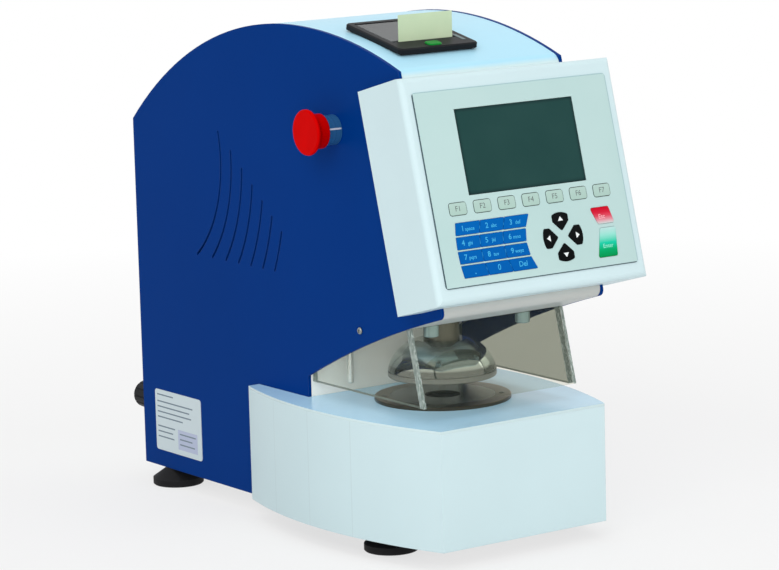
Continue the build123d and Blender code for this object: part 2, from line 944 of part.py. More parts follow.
def corner_key(low, high, foot, head):
    """Outline of the escape or the enter key: foot and head are its ends below and above."""
    points = ((foot[0], low), (foot[1], low), (head[1], high), (head[0], high))
    return rounded(points, corner_key_radius)


def key_faces():
    """Every key of the control head by name, as outlines on the face."""
    faces = {}
    for index in range(function_key_count):
        faces[f"function_key_{index + 1}"] = function_key_face(index)
    for row in range(3):
        for column in range(3):
            faces[f"number_key_{row * 3 + column + 1}"] = number_key_face(3 - row, column)
    faces["point_key"] = number_key_face(0, 0)
    faces["number_key_0"] = number_key_face(0, 1)
    faces["delete_key"] = number_key_face(0, 2)
    faces["arrow_key_up"] = arrow_key_face(0)
    faces["arrow_key_left"] = arrow_key_face(90)
    faces["arrow_key_down"] = arrow_key_face(180)
    faces["arrow_key_right"] = arrow_key_face(270)
    faces["escape_key"] = corner_key(
        escape_low, escape_high, (escape_foot_left, escape_foot_right), (escape_head_left, escape_head_right)
    )
    faces["enter_key"] = corner_key(
        enter_low, enter_high, (enter_foot_left, enter_foot_right), (enter_head_left, enter_head_right)
    )
    return faces


def key_solid(face):
    """A key cap, from inside the face sheet to just proud of the overlay."""
    cap = extrude(face_plane.offset(-key_depth) * face, key_depth + overlay_thickness + key_proud)
    return cap


def key_hole(face):
    """The hole that a key moves in, through the overlay and the face sheet."""
    opening = offset(face, key_clearance)
    return extrude(face_plane.offset(-2 * head_wall) * opening, 4 * head_wall)


def head_housing(holes):
    """Tray-shaped control head: tilted face with flanges that straddle the body."""
    half = head_width / 2
    shell = face_block(-half, half, 0, head_height, -head_depth, 0)
    front = max(shell.faces(), key=lambda face: face.normal_at().dot(face_plane.z_dir))
    shell = fillet(front.edges(), head_bend)
    inner = half - head_wall
    hollow = face_block(-inner, inner, head_wall, head_height - head_wall, -head_depth, -head_wall)
    front = max(hollow.faces(), key=lambda face: face.normal_at().dot(face_plane.z_dir))
    hollow = fillet(front.edges(), head_bend - head_wall)
    shell -= hollow
    body_slot = outer_x + seam
    shell -= face_block(-body_slot, body_slot, 0, head_height, -head_depth, -head_seat_depth)
    shell -= face_block(
        panel_centre - window_width / 2,
        panel_centre + window_width / 2,
        window_low,
        window_low + window_height,
        -head_wall,
        0,
    )
    for hole in holes:
        shell -= hole
    for ear_x in (-fit_x, fit_x - sheet):
        shell += face_block(ear_x, ear_x + sheet, head_ear_low, head_ear_high, -head_depth, -head_wall)
    post_x = board_width / 2 - board_post_inset
    post = board_post / 2
    for x in (-post_x, post_x):
        for s in (board_low + board_post_inset, board_high - board_post_drop):
            shell += face_block(x - post, x + post, s - post, s + post, -head_wall - board_gap, -head_wall)
    return shell


def membrane_overlay(holes):
    """Thin overlay on the face, with openings for the display and the keys."""
    middle = (overlay_low + overlay_high) / 2
    outline = Pos(0, middle) * RectangleRounded(overlay_width, overlay_high - overlay_low, overlay_corner)
    outline -= Pos(panel_centre, window_low + window_height / 2) * Rectangle(window_width, window_height)
    overlay = extrude(face_plane * outline, overlay_thickness)
    for hole in holes:
        overlay -= hole
    return overlay


def display_module():
    """Graphic display: glass in the window and its module behind the face sheet."""
    half = window_width / 2 - seam
    glass = face_block(
        panel_centre - half,
        panel_centre + half,
        window_low + seam,
        window_low + window_height - seam,
        -head_wall,
        overlay_thickness - 0.2,
    )
    half = window_width / 2 + display_border
    low = window_low - display_border + 0.5
    high = window_low + window_height + display_border
    module = face_block(
        panel_centre - half, panel_centre + half, low, high, -head_wall - display_thickness, -head_wall
    )
    return glass + module


def control_board(faces):
    """Keypad and control board behind the face, with a snap dome under each key."""
    half = board_width / 2
    back = -head_wall - board_gap
    dome_top = -(key_depth + key_travel + dome_clearance)
    board = face_block(-half, half, board_low, board_high, back - board_thickness, back)
    for face in faces.values():
        spot = face.center(CenterOf.BOUNDING_BOX)
        circle = Pos(spot.X, spot.Y) * Circle(dome_diameter / 2)
        board += extrude(face_plane.offset(back) * circle, dome_top - back)
    rear = back - board_thickness
    for x, size, height in ((chip_x, chip_size, chip_height), (driver_x, driver_size, driver_height)):
        half = size / 2
        board += face_block(x - half, x + half, chip_s - half, chip_s + half, rear - height, rear)
    half = plug_width / 2
    low = plug_s - plug_length / 2
    return board + face_block(plug_x - half, plug_x + half, low, low + plug_length, rear - plug_length, rear)


def stop_base():
    """Stop button base: collar outside, thread through the plate, block inside."""
    face_x = -outer_x
    collar = along_x(stop_collar_diameter, stop_y, stop_z, face_x - stop_collar_height, face_x)
    thread = along_x(stop_thread_diameter, stop_y, stop_z, face_x, -inner_x)
    half = stop_block_width / 2
    inner = block(
        -inner_x,
        -inner_x + stop_block_depth,
        stop_y - half,
        stop_y + half,
        stop_z - half,
        stop_z + half,
    )
    bore = stop_stem_diameter + 2 * running_clearance
    bore_end = -inner_x + stop_stem_reach + stop_travel + stop_bore_slack
    stem_hole = along_x(bore, stop_y, stop_z, face_x - stop_collar_height, bore_end)
    return collar + thread + inner - stem_hole


def stop_button():
    """Mushroom head with a hollow neck and its stem."""
    face_x = -outer_x - stop_reach
    head_back = face_x + stop_head_thickness
    neck_end = -outer_x - stop_collar_height
    head = along_x(stop_head_diameter, stop_y, stop_z, face_x, head_back)
    head = fillet(head.edges().group_by(Axis.X)[0], stop_head_round)
    head = fillet(head.edges().group_by(Axis.X)[-1], stop_head_back_round)
    root = head_back - stop_head_web
    neck = along_x(stop_neck_diameter, stop_y, stop_z, root, neck_end)
    neck_bore = stop_neck_diameter - 2 * stop_neck_wall
    hollow = along_x(neck_bore, stop_y, stop_z, head_back + stop_head_web, neck_end)
    stem = along_x(stop_stem_diameter, stop_y, stop_z, root, -inner_x + stop_stem_reach)
    return head + neck - hollow + stem


def printer_frame():
    """Frame of the printer, lying on the curve of the top cover."""
    slope = degrees(atan2(crown_y - printer_y, sqrt(crown_front_radius**2 - (printer_y - crown_y) ** 2)))
    return Pos(printer_x, printer_y, crown_z(printer_y, rim_proud)) * Rot(slope, 0, 0)


def printer_case():
    """Printer bezel and case, open on top for the paper roll."""
    half_x = printer_width / 2
    half_y = printer_length / 2
    inner_half_x = half_x - printer_border - seam
    inner_half_y = half_y - printer_border - seam
    rim = block(-half_x, half_x, -half_y, half_y, 0, printer_rim)
    rim = fillet(rim.edges().filter_by(Axis.Z), printer_corner)
    rim = chamfer(rim.edges().group_by(Axis.Z)[-1], printer_edge)
    case = rim + block(-inner_half_x, inner_half_x, -inner_half_y, inner_half_y, -printer_drop, 0)
    cavity_x = inner_half_x - printer_wall
    cavity_y = inner_half_y - printer_wall
    cavity_floor = -printer_drop + printer_wall
    case -= block(-cavity_x, cavity_x, -half_y + printer_nose, cavity_y, cavity_floor, printer_rim)
    hinge = printer_door_place()[2]
    hole_end = cavity_x + pin_engagement + seam
    case -= along_x(hinge_pin_diameter + 2 * running_clearance, hinge[0], hinge[1], -hole_end, hole_end)
    return printer_frame() * case


def printer_door_place():
    """Half width, front and rear limits of the door, and its hinge line."""
    half_x = printer_width / 2 - printer_border - seam - printer_wall - door_gap
    front = -printer_length / 2 + printer_nose + paper_slot
    rear = printer_length / 2 - printer_border - seam - printer_wall - door_gap
    hinge = (rear - hinge_pin_diameter, printer_rim - hinge_pin_diameter)
    return half_x, front, hinge


def printer_door():
    """Paper door, hinged at its rear on a cross pin."""
    half_x, front, hinge = printer_door_place()
    leaf = block(-half_x, half_x, front, hinge[0], printer_rim - door_thickness, printer_rim)
    leaf = fillet(leaf.edges().filter_by(Axis.X).group_by(Axis.Y)[0].group_by(Axis.Z)[-1], printer_edge)
    barrel = along_x(2 * hinge_pin_diameter, hinge[0], hinge[1], -half_x, half_x)
    pin_end = half_x + door_gap + pin_engagement
    pin = along_x(hinge_pin_diameter, hinge[0], hinge[1], -pin_end, pin_end)
    return printer_frame() * (leaf + barrel + pin)


def paper_roll():
    """Paper roll in the printer, with its strip led out in front of the door."""
    radius = roll_diameter / 2
    half_x = paper_width / 2
    slot_y = -printer_length / 2 + printer_nose + door_gap + paper_thickness / 2
    roll_y = slot_y + radius - paper_thickness / 2
    roll_z = -printer_drop + printer_wall + radius
    roll = along_x(roll_diameter, roll_y, roll_z, -half_x, half_x)
    roll -= along_x(paper_core_diameter, roll_y, roll_z, -half_x, half_x)
    half_y = paper_thickness / 2
    strip = block(-half_x, half_x, slot_y - half_y, slot_y + half_y, roll_z, 0)
    inside = printer_frame() * (roll + strip)
    foot = printer_frame() * Location((0, slot_y, 0))
    out = block(-half_x, half_x, -half_y, half_y, -paper_lap, paper_reach + printer_rim)
    outside = Pos(foot.position.X, foot.position.Y, foot.position.Z) * out
    return inside + outside


def regulator_body():
    """Air regulator inside the rear cover, with its neck and stem outside."""
    skin = rear_y - rim_proud
    half = regulator_width / 2
    inside = skin - sheet
    front = inside - regulator_depth
    inlet_height_z = knob_z - air_inlet_drop
    body = block(knob_x - half, knob_x + half, front, inside, knob_z - regulator_drop, knob_z + half)
    body = fillet(body.edges().filter_by(Axis.Y), regulator_corner)
    neck_end = skin + knob_gap - seam
    body += along_y(regulator_neck_diameter, knob_x, knob_z, inside, neck_end)
    body += along_y(knob_stem_diameter, knob_x, knob_z, neck_end, skin + knob_gap + knob_stem_length)
    body += along_y(air_port_diameter, knob_x, knob_z, front - air_port_length, front)
    body += along_y(air_inlet_diameter, knob_x, inlet_height_z, inside, skin + air_inlet_proud)
    mouth = skin + air_inlet_proud
    return body - along_y(air_inlet_bore, knob_x, inlet_height_z, mouth - air_inlet_depth, mouth)


def regulator_knob():
    """Ribbed knob on the regulator stem."""
    start = rear_y - rim_proud + knob_gap
    end = start + knob_length
    knob = along_y(knob_diameter, knob_x, knob_z, start, end)
    knob = fillet(knob.edges().group_by(Axis.Y)[-1], knob_round)
    for index in range(knob_groove_count):
        turn = radians(index * 360 / knob_groove_count)
        x = knob_x + knob_diameter / 2 * cos(turn)
        z = knob_z + knob_diameter / 2 * sin(turn)
        knob -= along_y(knob_groove_diameter, x, z, start + knob_collar, end)
    bore = knob_stem_diameter + 2 * running_clearance
    return knob - along_y(bore, knob_x, knob_z, start, start + knob_stem_length + seam)


def switch_hinge():
    """Depth and height of the rocker's pivot."""
    return rear_y - rim_proud + inlet_flange - switch_hinge_depth, inlet_z + switch_level


def power_inlet():
    """Mains inlet with its socket and the well of the rocker switch."""
    skin = rear_y - rim_proud
    half_x = inlet_width / 2
    half_z = inlet_height / 2
    face = skin + inlet_flange
    flange = block(inlet_x - half_x, inlet_x + half_x, skin, face, inlet_z - half_z, inlet_z + half_z)
    flange = fillet(flange.edges().filter_by(Axis.Y), inlet_corner)
    body_x = half_x - inlet_flange - seam
    body_z = half_z - inlet_flange - seam
    back = face - inlet_depth
    body = block(inlet_x - body_x, inlet_x + body_x, back, skin, inlet_z - body_z, inlet_z + body_z)
    inlet = flange + body
    socket_z = inlet_z - socket_drop
    socket = block(
        inlet_x - socket_width / 2,
        inlet_x + socket_width / 2,
        face - socket_depth,
        face,
        socket_z - socket_height / 2,
        socket_z + socket_height / 2,
    )
    inlet -= socket
    half_pin = socket_pin_width / 2
    pins = ((-socket_pin_side, socket_pin_low), (socket_pin_side, socket_pin_low), (0.0, socket_pin_high))
    for x, z in pins:
        inlet += block(
            inlet_x + x - half_pin,
            inlet_x + x + half_pin,
            face - socket_depth,
            face - socket_pin_inset,
            socket_z + z - socket_pin_height / 2,
            socket_z + z + socket_pin_height / 2,
        )
    hinge_z = switch_hinge()[1]
    well_x = switch_width / 2 + seam
    well_z = switch_height / 2 + switch_room
    well_y = face - switch_well_depth
    return inlet - block(inlet_x - well_x, inlet_x + well_x, well_y, face, hinge_z - well_z, hinge_z + well_z)


def power_switch():
    """Rocker switch, drawn in its off position."""
    hinge_y, hinge_z = switch_hinge()
    half_x = switch_width / 2
    half_z = switch_height / 2
    flush = rear_y - rim_proud + inlet_flange + switch_proud
    raised = flush + half_z * tan(radians(switch_throw))
    heel = hinge_y - switch_heel
    rocker_face = make_face(
        Polyline(
            (raised, hinge_z + half_z),
            (flush, hinge_z),
            (flush, hinge_z - half_z),
            (heel, hinge_z - half_z + switch_taper),
            (heel, hinge_z + half_z - switch_taper),
            close=True,
        )
    )
    return yz_solid(rocker_face, inlet_x - half_x, inlet_x + half_x)


def levelling_feet():
    """Four domed rubber feet with their studs."""
    feet = []
    radius = foot_diameter / 2
    neck = foot_neck_diameter / 2
    stud = foot_stud_diameter / 2
    with BuildSketch() as sketch:
        with BuildLine():
            Polyline(
                (0, 0),
                (radius - foot_edge, 0),
                (radius, foot_edge),
                (radius, foot_rim),
                (neck, foot_height - foot_edge),
                (neck, foot_height),
                (stud, foot_height),
                (stud, foot_height + foot_stud_length),
                (0, foot_height + foot_stud_length),
                close=True,
            )
        make_face()
    foot = revolve(Plane.XZ * sketch.sketch, Axis.Z)
    for x in (-foot_x, foot_x):
        for y in (foot_front_y, foot_rear_y):
            feet.append((Pos(x, y, 0) * foot).solid())
    return Compound(feet)


def make_parts():
    """Every node of the tester by name."""
    faces = key_faces()
    holes = [key_hole(face) for face in faces.values()]
    left, right = side_plates()
    parts = {
        "base_plate": base_plate(),
        "left_side_plate": left,
        "right_side_plate": right,
        "top_rear_cover": top_rear_cover(),
        "throat_wall": throat_wall(),
        "front_fascia": front_fascia(),
        "base_skirt": base_skirt(),
        "work_table": work_table(),
        "head_housing": head_housing(holes),
        "membrane_overlay": membrane_overlay(holes),
        "display_module": display_module(),
        "control_board": control_board(faces),
        "clamp_beam": clamp_beam(),
        "guide_rods": guide_rods(),
        "air_cylinder": air_cylinder(),
        "clamp_spindle": clamp_spindle(),
        "clamp_bell": clamp_bell(),
        "lower_clamp_plate": lower_clamp_plate(),
        "diaphragm": diaphragm(),
        "pump_body": pump_body(),
        "pump_piston": pump_piston(),
        "drive_nut": drive_nut(),
        "pump_motor": pump_motor(),
        "guard_panes": guard_panes(),
        "guard_screws": guard_screws(),
        "stop_base": stop_base(),
        "stop_button": stop_button(),
        "printer_case": printer_case(),
        "printer_door": printer_door(),
        "paper_roll": paper_roll(),
        "regulator_body": regulator_body(),
        "regulator_knob": regulator_knob(),
        "power_inlet": power_inlet(),
        "power_switch": power_switch(),
        "levelling_feet": levelling_feet(),
    }
    for name, face in faces.items():
        parts[name] = key_solid(face)
    return parts


if __name__ == "__main__":
    os.makedirs("parts", exist_ok=True)
    for name, shape in make_parts().items():
        export_step(shape, f"parts/{name}.step")
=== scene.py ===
from math import cos, pi, radians, sin, tan

import bmesh
import bpy
from mathutils import Matrix, Vector


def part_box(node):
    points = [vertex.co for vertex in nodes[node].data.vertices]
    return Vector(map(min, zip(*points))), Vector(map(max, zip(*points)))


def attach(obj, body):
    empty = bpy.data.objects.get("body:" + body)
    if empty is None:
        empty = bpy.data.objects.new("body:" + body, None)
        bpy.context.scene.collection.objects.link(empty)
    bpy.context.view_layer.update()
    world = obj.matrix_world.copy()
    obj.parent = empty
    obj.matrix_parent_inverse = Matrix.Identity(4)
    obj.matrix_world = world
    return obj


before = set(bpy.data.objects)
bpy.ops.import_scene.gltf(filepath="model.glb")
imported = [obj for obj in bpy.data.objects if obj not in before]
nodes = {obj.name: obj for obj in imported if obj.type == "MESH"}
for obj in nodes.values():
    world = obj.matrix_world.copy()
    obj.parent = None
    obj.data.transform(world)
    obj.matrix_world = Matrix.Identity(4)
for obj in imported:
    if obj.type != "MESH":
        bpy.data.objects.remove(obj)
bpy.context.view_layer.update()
mm = 0.001

# The sloping face of the control head, and how far out of it the prints lie
face_tilt = radians(15)
face_foot = Vector((0, -275.409, 234.993)) * mm
face_right = Vector((1, 0, 0))
face_up = Vector((0, sin(face_tilt), cos(face_tilt)))
face_out = Vector((0, -cos(face_tilt), sin(face_tilt)))
key_level = 1.23 * mm  # prints on the keys
film_level = 0.83 * mm  # prints on the film between them
overlay_low, overlay_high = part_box("membrane_overlay")

# Four rows of number keys on that face, with pale gaps between them
number_low = 20.3 * mm
number_high = 66.7 * mm
number_gap = 1.6 * mm
row_step = (number_high - number_low + number_gap) / 4

# The left side plate's outer face, and axes that turned pieces share
plate_outside = -87 * mm
clamp_y = -124 * mm
clamp_axis = (0, clamp_y, 0)
pump_axis = (0, 0, 72 * mm)
origin = (0, 0, 0)

# The clear guard. Its front face leans with the head and lies at guard_front at guard_level.
guard_front = -190.6 * mm
guard_level = 204.7 * mm
front_pane = 5.1 * mm  # depth of the front pane
side_pane = 77.6 * mm  # from the middle to where the side panes begin
edge_band = 79.8 * mm  # from the middle to the frosted band along the front pane's sides

# Press lines of the skirt, seen only on its sides, which lie farther out than skirt_side
skirt_bends = (-21.5 * mm, -81.6 * mm, -141.8 * mm)
skirt_side = 84 * mm


class Tone:
    """A value that varies over a finish, and the sums made with it."""

    def __init__(self, finish, socket):
        self.finish = finish
        self.socket = socket

    def worked(self, operation, first, second=0.0):
        return self.finish.add("ShaderNodeMath", {"operation": operation}, {0: first, 1: second})

    def __add__(self, other):
        return self.worked("ADD", self, other)

    __radd__ = __add__

    def __sub__(self, other):
        return self.worked("SUBTRACT", self, other)

    def __rsub__(self, other):
        return self.worked("SUBTRACT", other, self)

    def __mul__(self, other):
        return self.worked("MULTIPLY", self, other)

    __rmul__ = __mul__

    def __truediv__(self, other):
        return self.worked("DIVIDE", self, other)

    def __pow__(self, other):
        return self.worked("POWER", self, other)

    def __abs__(self):
        return self.worked("ABSOLUTE", self)

    def __gt__(self, other):
        return self.worked("GREATER_THAN", self, other)

    def __lt__(self, other):
        return self.worked("LESS_THAN", self, other)

    def wave(self):
        return self.worked("SINE", self)

    def rise(self, low, high):
        """0 below low, 1 above high, and a straight run between them."""
        ends = {"Value": self, "From Min": low, "From Max": high}
        return self.finish.add("ShaderNodeMapRange", {"clamp": True}, ends)


class Finish:
    """A finish for one kind of surface, in real sizes, measured from the part's own origin."""

    def __init__(self, name, **fixed):
        self.material = bpy.data.materials.new(name)
        self.material.use_nodes = True
        self.tree = self.material.node_tree
        self.shader = self.tree.nodes["Principled BSDF"]
        self.solid = Tone(self, self.shader.outputs[0])
        for socket, value in fixed.items():
            self.set(socket.replace("_", " "), value)
        self.point = self.add("ShaderNodeTexCoord", out="Object")

    def add(self, kind, settings=None, sockets=None, out=0):
        node = self.tree.nodes.new(kind)
        for name, value in (settings or {}).items():
            if name == "stops":
                while len(node.color_ramp.elements) < len(value):
                    node.color_ramp.elements.new(0.5)
                for stop, (place, colour) in zip(node.color_ramp.elements, value):
                    stop.position = place
                    stop.color = (*colour, 1)
            else:
                setattr(node, name, value)
        for name, value in (sockets or {}).items():
            self.feed(node.inputs[name], value)
        return Tone(self, node.outputs[out])

    def feed(self, socket, value):
        if isinstance(value, Tone):
            self.tree.links.new(value.socket, socket)
        elif socket.type == "RGBA" and len(value) == 3:
            socket.default_value = (*value, 1)
        else:
            socket.default_value = value

    def set(self, name, value):
        self.feed(self.shader.inputs[name], value)

    def axes(self, vector=None):
        parts = self.tree.nodes.new("ShaderNodeSeparateXYZ")
        self.feed(parts.inputs[0], vector or self.point)
        return [Tone(self, socket) for socket in parts.outputs]

    def facing(self):
        """Which way the surface looks, along the three axes."""
        return self.axes(self.add("ShaderNodeTexCoord", out="Normal"))

    def noise(self, size, detail=2.0, stretch=None):
        """Soft random patches about that size in metres, from 0 to 1."""
        place = self.point
        if stretch:
            place = self.add(
                "ShaderNodeVectorMath", {"operation": "MULTIPLY"}, {0: self.point, 1: stretch}
            )
        sockets = {"Vector": place, "Scale": 1 / size, "Detail": detail}
        return self.add("ShaderNodeTexNoise", {}, sockets)

    def rings(self, pitch, across, along=None, detail=3.0):
        """Random rings of that pitch across a turned face, or across and along a turned body."""
        sockets = {"Scale": 1 / pitch, "Detail": detail}
        if along is None:
            dimensions = "1D"
            sockets["W"] = across
        else:
            dimensions = "2D"
            sockets["Vector"] = self.add("ShaderNodeCombineXYZ", {}, {0: across, 1: along})
        return self.add("ShaderNodeTexNoise", {"noise_dimensions": dimensions}, sockets)

    def mix(self, first, second, share):
        return self.add(
            "ShaderNodeMix", {"data_type": "RGBA"}, {0: share, 6: first, 7: second}, out=2
        )

    def pane(self, colour):
        """A see-through sheet of that colour."""
        return self.add("ShaderNodeBsdfTransparent", {}, {"Color": (*colour, 1)})

    def blend(self, first, second, share):
        """Two shaders mixed."""
        return self.add("ShaderNodeMixShader", {}, {0: share, 1: first, 2: second})

    def show(self, shader):
        """Puts a shader on the surface in place of the plain one."""
        self.feed(self.tree.nodes["Material Output"].inputs["Surface"], shader)

    def rounded(self, radius):
        """The normal with the sharp edges eased."""
        return self.add("ShaderNodeBevel", {"samples": 6}, {"Radius": radius})

    def edge(self, eased):
        """1 on a sharp edge, falling to 0 on the faces beside it."""
        flat = self.add("ShaderNodeNewGeometry", out="Normal")
        along = self.add(
            "ShaderNodeVectorMath", {"operation": "DOT_PRODUCT"}, {0: eased, 1: flat}, out="Value"
        )
        return (1 - along).rise(0.01, 0.2)

    def relief(self, height, depth, eased=None, strength=1.0):
        sockets = {"Height": height, "Distance": depth, "Strength": strength}
        if eased is not None:
            sockets["Normal"] = eased
        self.set("Normal", self.add("ShaderNodeBump", {}, sockets))


def shade(colour, factor):
    return tuple(min(1.0, part * factor) for part in colour)


def paler(colour, share):
    return tuple(part + (1 - part) * share for part in colour)


def srgb(red, green, blue):
    """A colour as the eye reads it, 0 to 255, as the linear colour that a shader takes."""
    parts = (red / 255, green / 255, blue / 255)
    return tuple(c / 12.92 if c <= 0.04045 else ((c + 0.055) / 1.055) ** 2.4 for c in parts)


def span(first, second):
    """How far off a point lies, from how far it lies along two axes."""
    return (first ** 2 + second ** 2) ** 0.5


def painted(
    name,
    colour,
    roughness=0.3,
    gloss=0.25,
    ease=0.5 * mm,
    wear=0.2,
    tint=(1, 1, 1),
    lines=None,
    sides=None,
):
    """Sprayed enamel: fine orange peel, slow drift in tone, thin and paler on the edges.

    lines gives the press lines under the paint, darkened as painted shade, and sides the colour of
    the upright faces, so that a top colour tinted as painted light from above stays on the faces
    that look up.
    """
    finish = Finish(name, Specular_IOR_Level=gloss, Specular_Tint=tint)
    eased = finish.rounded(ease)
    edge = finish.edge(eased)
    drift = finish.noise(160 * mm, 3)
    peel = finish.noise(1.6 * mm, 1)
    dust = finish.noise(9 * mm, 4)
    body = finish.mix(shade(colour, 0.93), shade(colour, 1.07), drift)
    if sides:
        upright = 1 - abs(finish.facing()[2]).rise(0.4, 0.75)
        body = finish.mix(body, sides, upright)
    body = finish.mix(body, paler(colour, 0.25), edge * wear)
    height = peel
    if lines is not None:
        line = lines(finish)
        # Painted shade darkens the paint along the press lines; the bump below presses them in
        body = finish.mix(body, shade(colour, 0.8), line * 0.35)
        height = peel - line * 3
    finish.set("Base Color", body)
    finish.set("Roughness", roughness + 0.1 * dust)
    finish.relief(height, 0.03 * mm, eased, 0.6)
    return finish.material


def bend_lines(finish):
    """The press lines where the front skirt was folded into its curve."""
    x, y, z = finish.axes()
    first, second, third = (1 - abs(y - bend).rise(0.2 * mm, 0.9 * mm) for bend in skirt_bends)
    return (first + second + third) * (abs(x) > skirt_side)


def turned_steel(name, colour, axis, centre, roughness, metal=1.0, pitch=0.5 * mm):
    """Steel turned on a lathe: rings round its axis and a drawn sheen."""
    finish = Finish(name, Metallic=metal)
    points = dict(zip("xyz", finish.axes()))
    middle = dict(zip("xyz", centre))
    across = span(*(points[side] - middle[side] for side in "xyz" if side != axis))
    rings = finish.rings(pitch, across, points[axis])
    smear = finish.noise(30 * mm, 3)
    eased = finish.rounded(0.4 * mm)
    sheen = rings * 0.6 + smear * 0.4
    finish.set("Base Color", finish.mix(shade(colour, 0.8), shade(colour, 1.12), sheen))
    finish.set("Roughness", roughness + 0.14 * rings - 0.05 * smear)
    finish.relief(rings, 0.012 * mm, eased, 0.5)
    return finish.material


def brushed(name, colour, roughness, grain, stretch):
    """Flat metal with a drawn grain along one direction."""
    finish = Finish(name, Metallic=1.0)
    lines = finish.noise(grain, 4, stretch)
    smear = finish.noise(25 * mm, 3)
    eased = finish.rounded(0.4 * mm)
    edge = finish.edge(eased)
    tone = finish.mix(shade(colour, 0.82), shade(colour, 1.1), lines)
    finish.set("Base Color", finish.mix(tone, shade(colour, 1.35), edge * 0.5))
    finish.set("Roughness", roughness + 0.12 * lines - 0.06 * smear)
    finish.relief(lines, 0.015 * mm, eased, 0.5)
    return finish.material


def moulded(
    name, colour, roughness=0.3, grain=0.8 * mm, depth=0.01 * mm, gloss=0.12, ease=0.3 * mm
):
    """Moulded plastic or rubber with a fine spark texture."""
    finish = Finish(name, Specular_IOR_Level=gloss)
    eased = finish.rounded(ease)
    edge = finish.edge(eased)
    spark = finish.noise(grain, 2)
    drift = finish.noise(20 * mm, 3)
    tone = finish.mix(shade(colour, 0.88), shade(colour, 1.1), drift)
    finish.set("Base Color", finish.mix(tone, paler(colour, 0.12), edge * 0.5))
    finish.set("Roughness", roughness + 0.12 * spark)
    finish.relief(spark, depth, eased, 0.5)
    return finish.material


def face_place(finish):
    """How far a point lies across the sloping face from its middle, and up it from its foot."""
    x, y, z = finish.axes()
    up = (y - face_foot.y) * face_up.y + (z - face_foot.z) * face_up.z
    return x, up


def key_top(name, colours, low, high):
    """Printed key: colours that fade into one another up the key, under a satin film."""
    finish = Finish(name, Specular_IOR_Level=0.04)
    x, up = face_place(finish)
    eased = finish.rounded(0.5 * mm)
    film = finish.noise(0.5 * mm, 1)
    smudge = finish.noise(7 * mm, 3)
    stops = [(place / (len(colours) - 1), colour) for place, colour in enumerate(colours)]
    tone = finish.add("ShaderNodeValToRGB", {"stops": stops}, {"Fac": up.rise(low, high)})
    finish.set("Base Color", finish.mix(tone, finish.mix(tone, (0, 0, 0), 0.08), smudge))
    finish.set("Roughness", 0.38 + 0.12 * smudge)
    finish.relief(film, 0.01 * mm, eased, 0.5)
    return finish.material


def overlay_print():
    """Front film: pale print, blue behind the number keys, and a line along each rim.

    The line is dark at the left and the foot, a painted shadow of the gap there, and faint at the
    right and the top.
    """
    pad_left, pad_right = -79.5 * mm, -12 * mm
    pad_low, pad_high = 21 * mm, 66 * mm
    foot_line, top_line = 13.8 * mm, 177.8 * mm
    left_line = overlay_low.x + 0.9 * mm
    right_line = overlay_high.x - 0.7 * mm

    finish = Finish("overlay_print", Specular_IOR_Level=0.3)
    x, up = face_place(finish)
    eased = finish.rounded(0.4 * mm)
    film = finish.noise(0.5 * mm, 1)
    smudge = finish.noise(14 * mm, 3)
    drift = finish.noise(70 * mm, 2)
    pale = finish.mix(srgb(179, 209, 207), srgb(190, 216, 214), drift)
    pad = (x > pad_left) * (x < pad_right) * (up > pad_low) * (up < pad_high)
    tone = finish.mix(pale, finish.mix(pad_blue, (0, 0, 0), 0.1), pad * pad_row(up))
    # Painted shadow of the gap along the film's left rim and foot; a fainter darker line at the
    # right and the top
    rim = (x < left_line) + (up < foot_line)
    tone = finish.mix(tone, srgb(62, 84, 92), rim.rise(0, 1))
    faint = (x > right_line) + (up > top_line)
    tone = finish.mix(tone, srgb(160, 192, 196), faint.rise(0, 1))
    finish.set("Base Color", tone)
    finish.set("Roughness", 0.34 + 0.1 * smudge)
    finish.relief(film, 0.01 * mm, eased, 0.5)
    return finish.material


def pad_row(up):
    """1 across each row of number keys, 0 in the pale gaps between the rows."""
    rows = (up - number_low) / row_step
    place = up.finish.add("ShaderNodeMath", {"operation": "FRACT"}, {0: rows})
    return place < 1 - number_gap / row_step


def display_glass():
    """Dark liquid crystal window, darker round its rim as a painted shadow of the bezel, with a
    faint cell pattern.
    """
    middle = 125 * mm
    half_width, half_height = 62.5 * mm, 36.5 * mm
    bezel_shadow_width = 3.5 * mm
    cell = 0.8 * mm

    finish = Finish("display_glass", Coat_Weight=0.04, Coat_Roughness=0.08, Specular_IOR_Level=0.04)
    x, up = face_place(finish)
    # Painted shadow of the bezel round the window's rim
    side = abs(x).rise(half_width - bezel_shadow_width, half_width)
    top = abs(up - middle).rise(half_height - bezel_shadow_width, half_height)
    rim = (side + top).rise(0, 1)
    cells = ((x * (2 * pi / cell)).wave() + (up * (2 * pi / cell)).wave()).rise(1.2, 2.0)
    drift = finish.noise(45 * mm, 3)
    tone = finish.mix(srgb(28, 64, 62), srgb(39, 73, 70), drift)
    tone = finish.mix(tone, srgb(26, 52, 51), cells * 0.25)
    finish.set("Base Color", finish.mix(tone, srgb(22, 42, 44), rim * 0.8))
    finish.set("Roughness", 0.2 + 0.1 * drift)
    finish.relief(cells, 0.005 * mm, None, 0.3)
    return finish.material


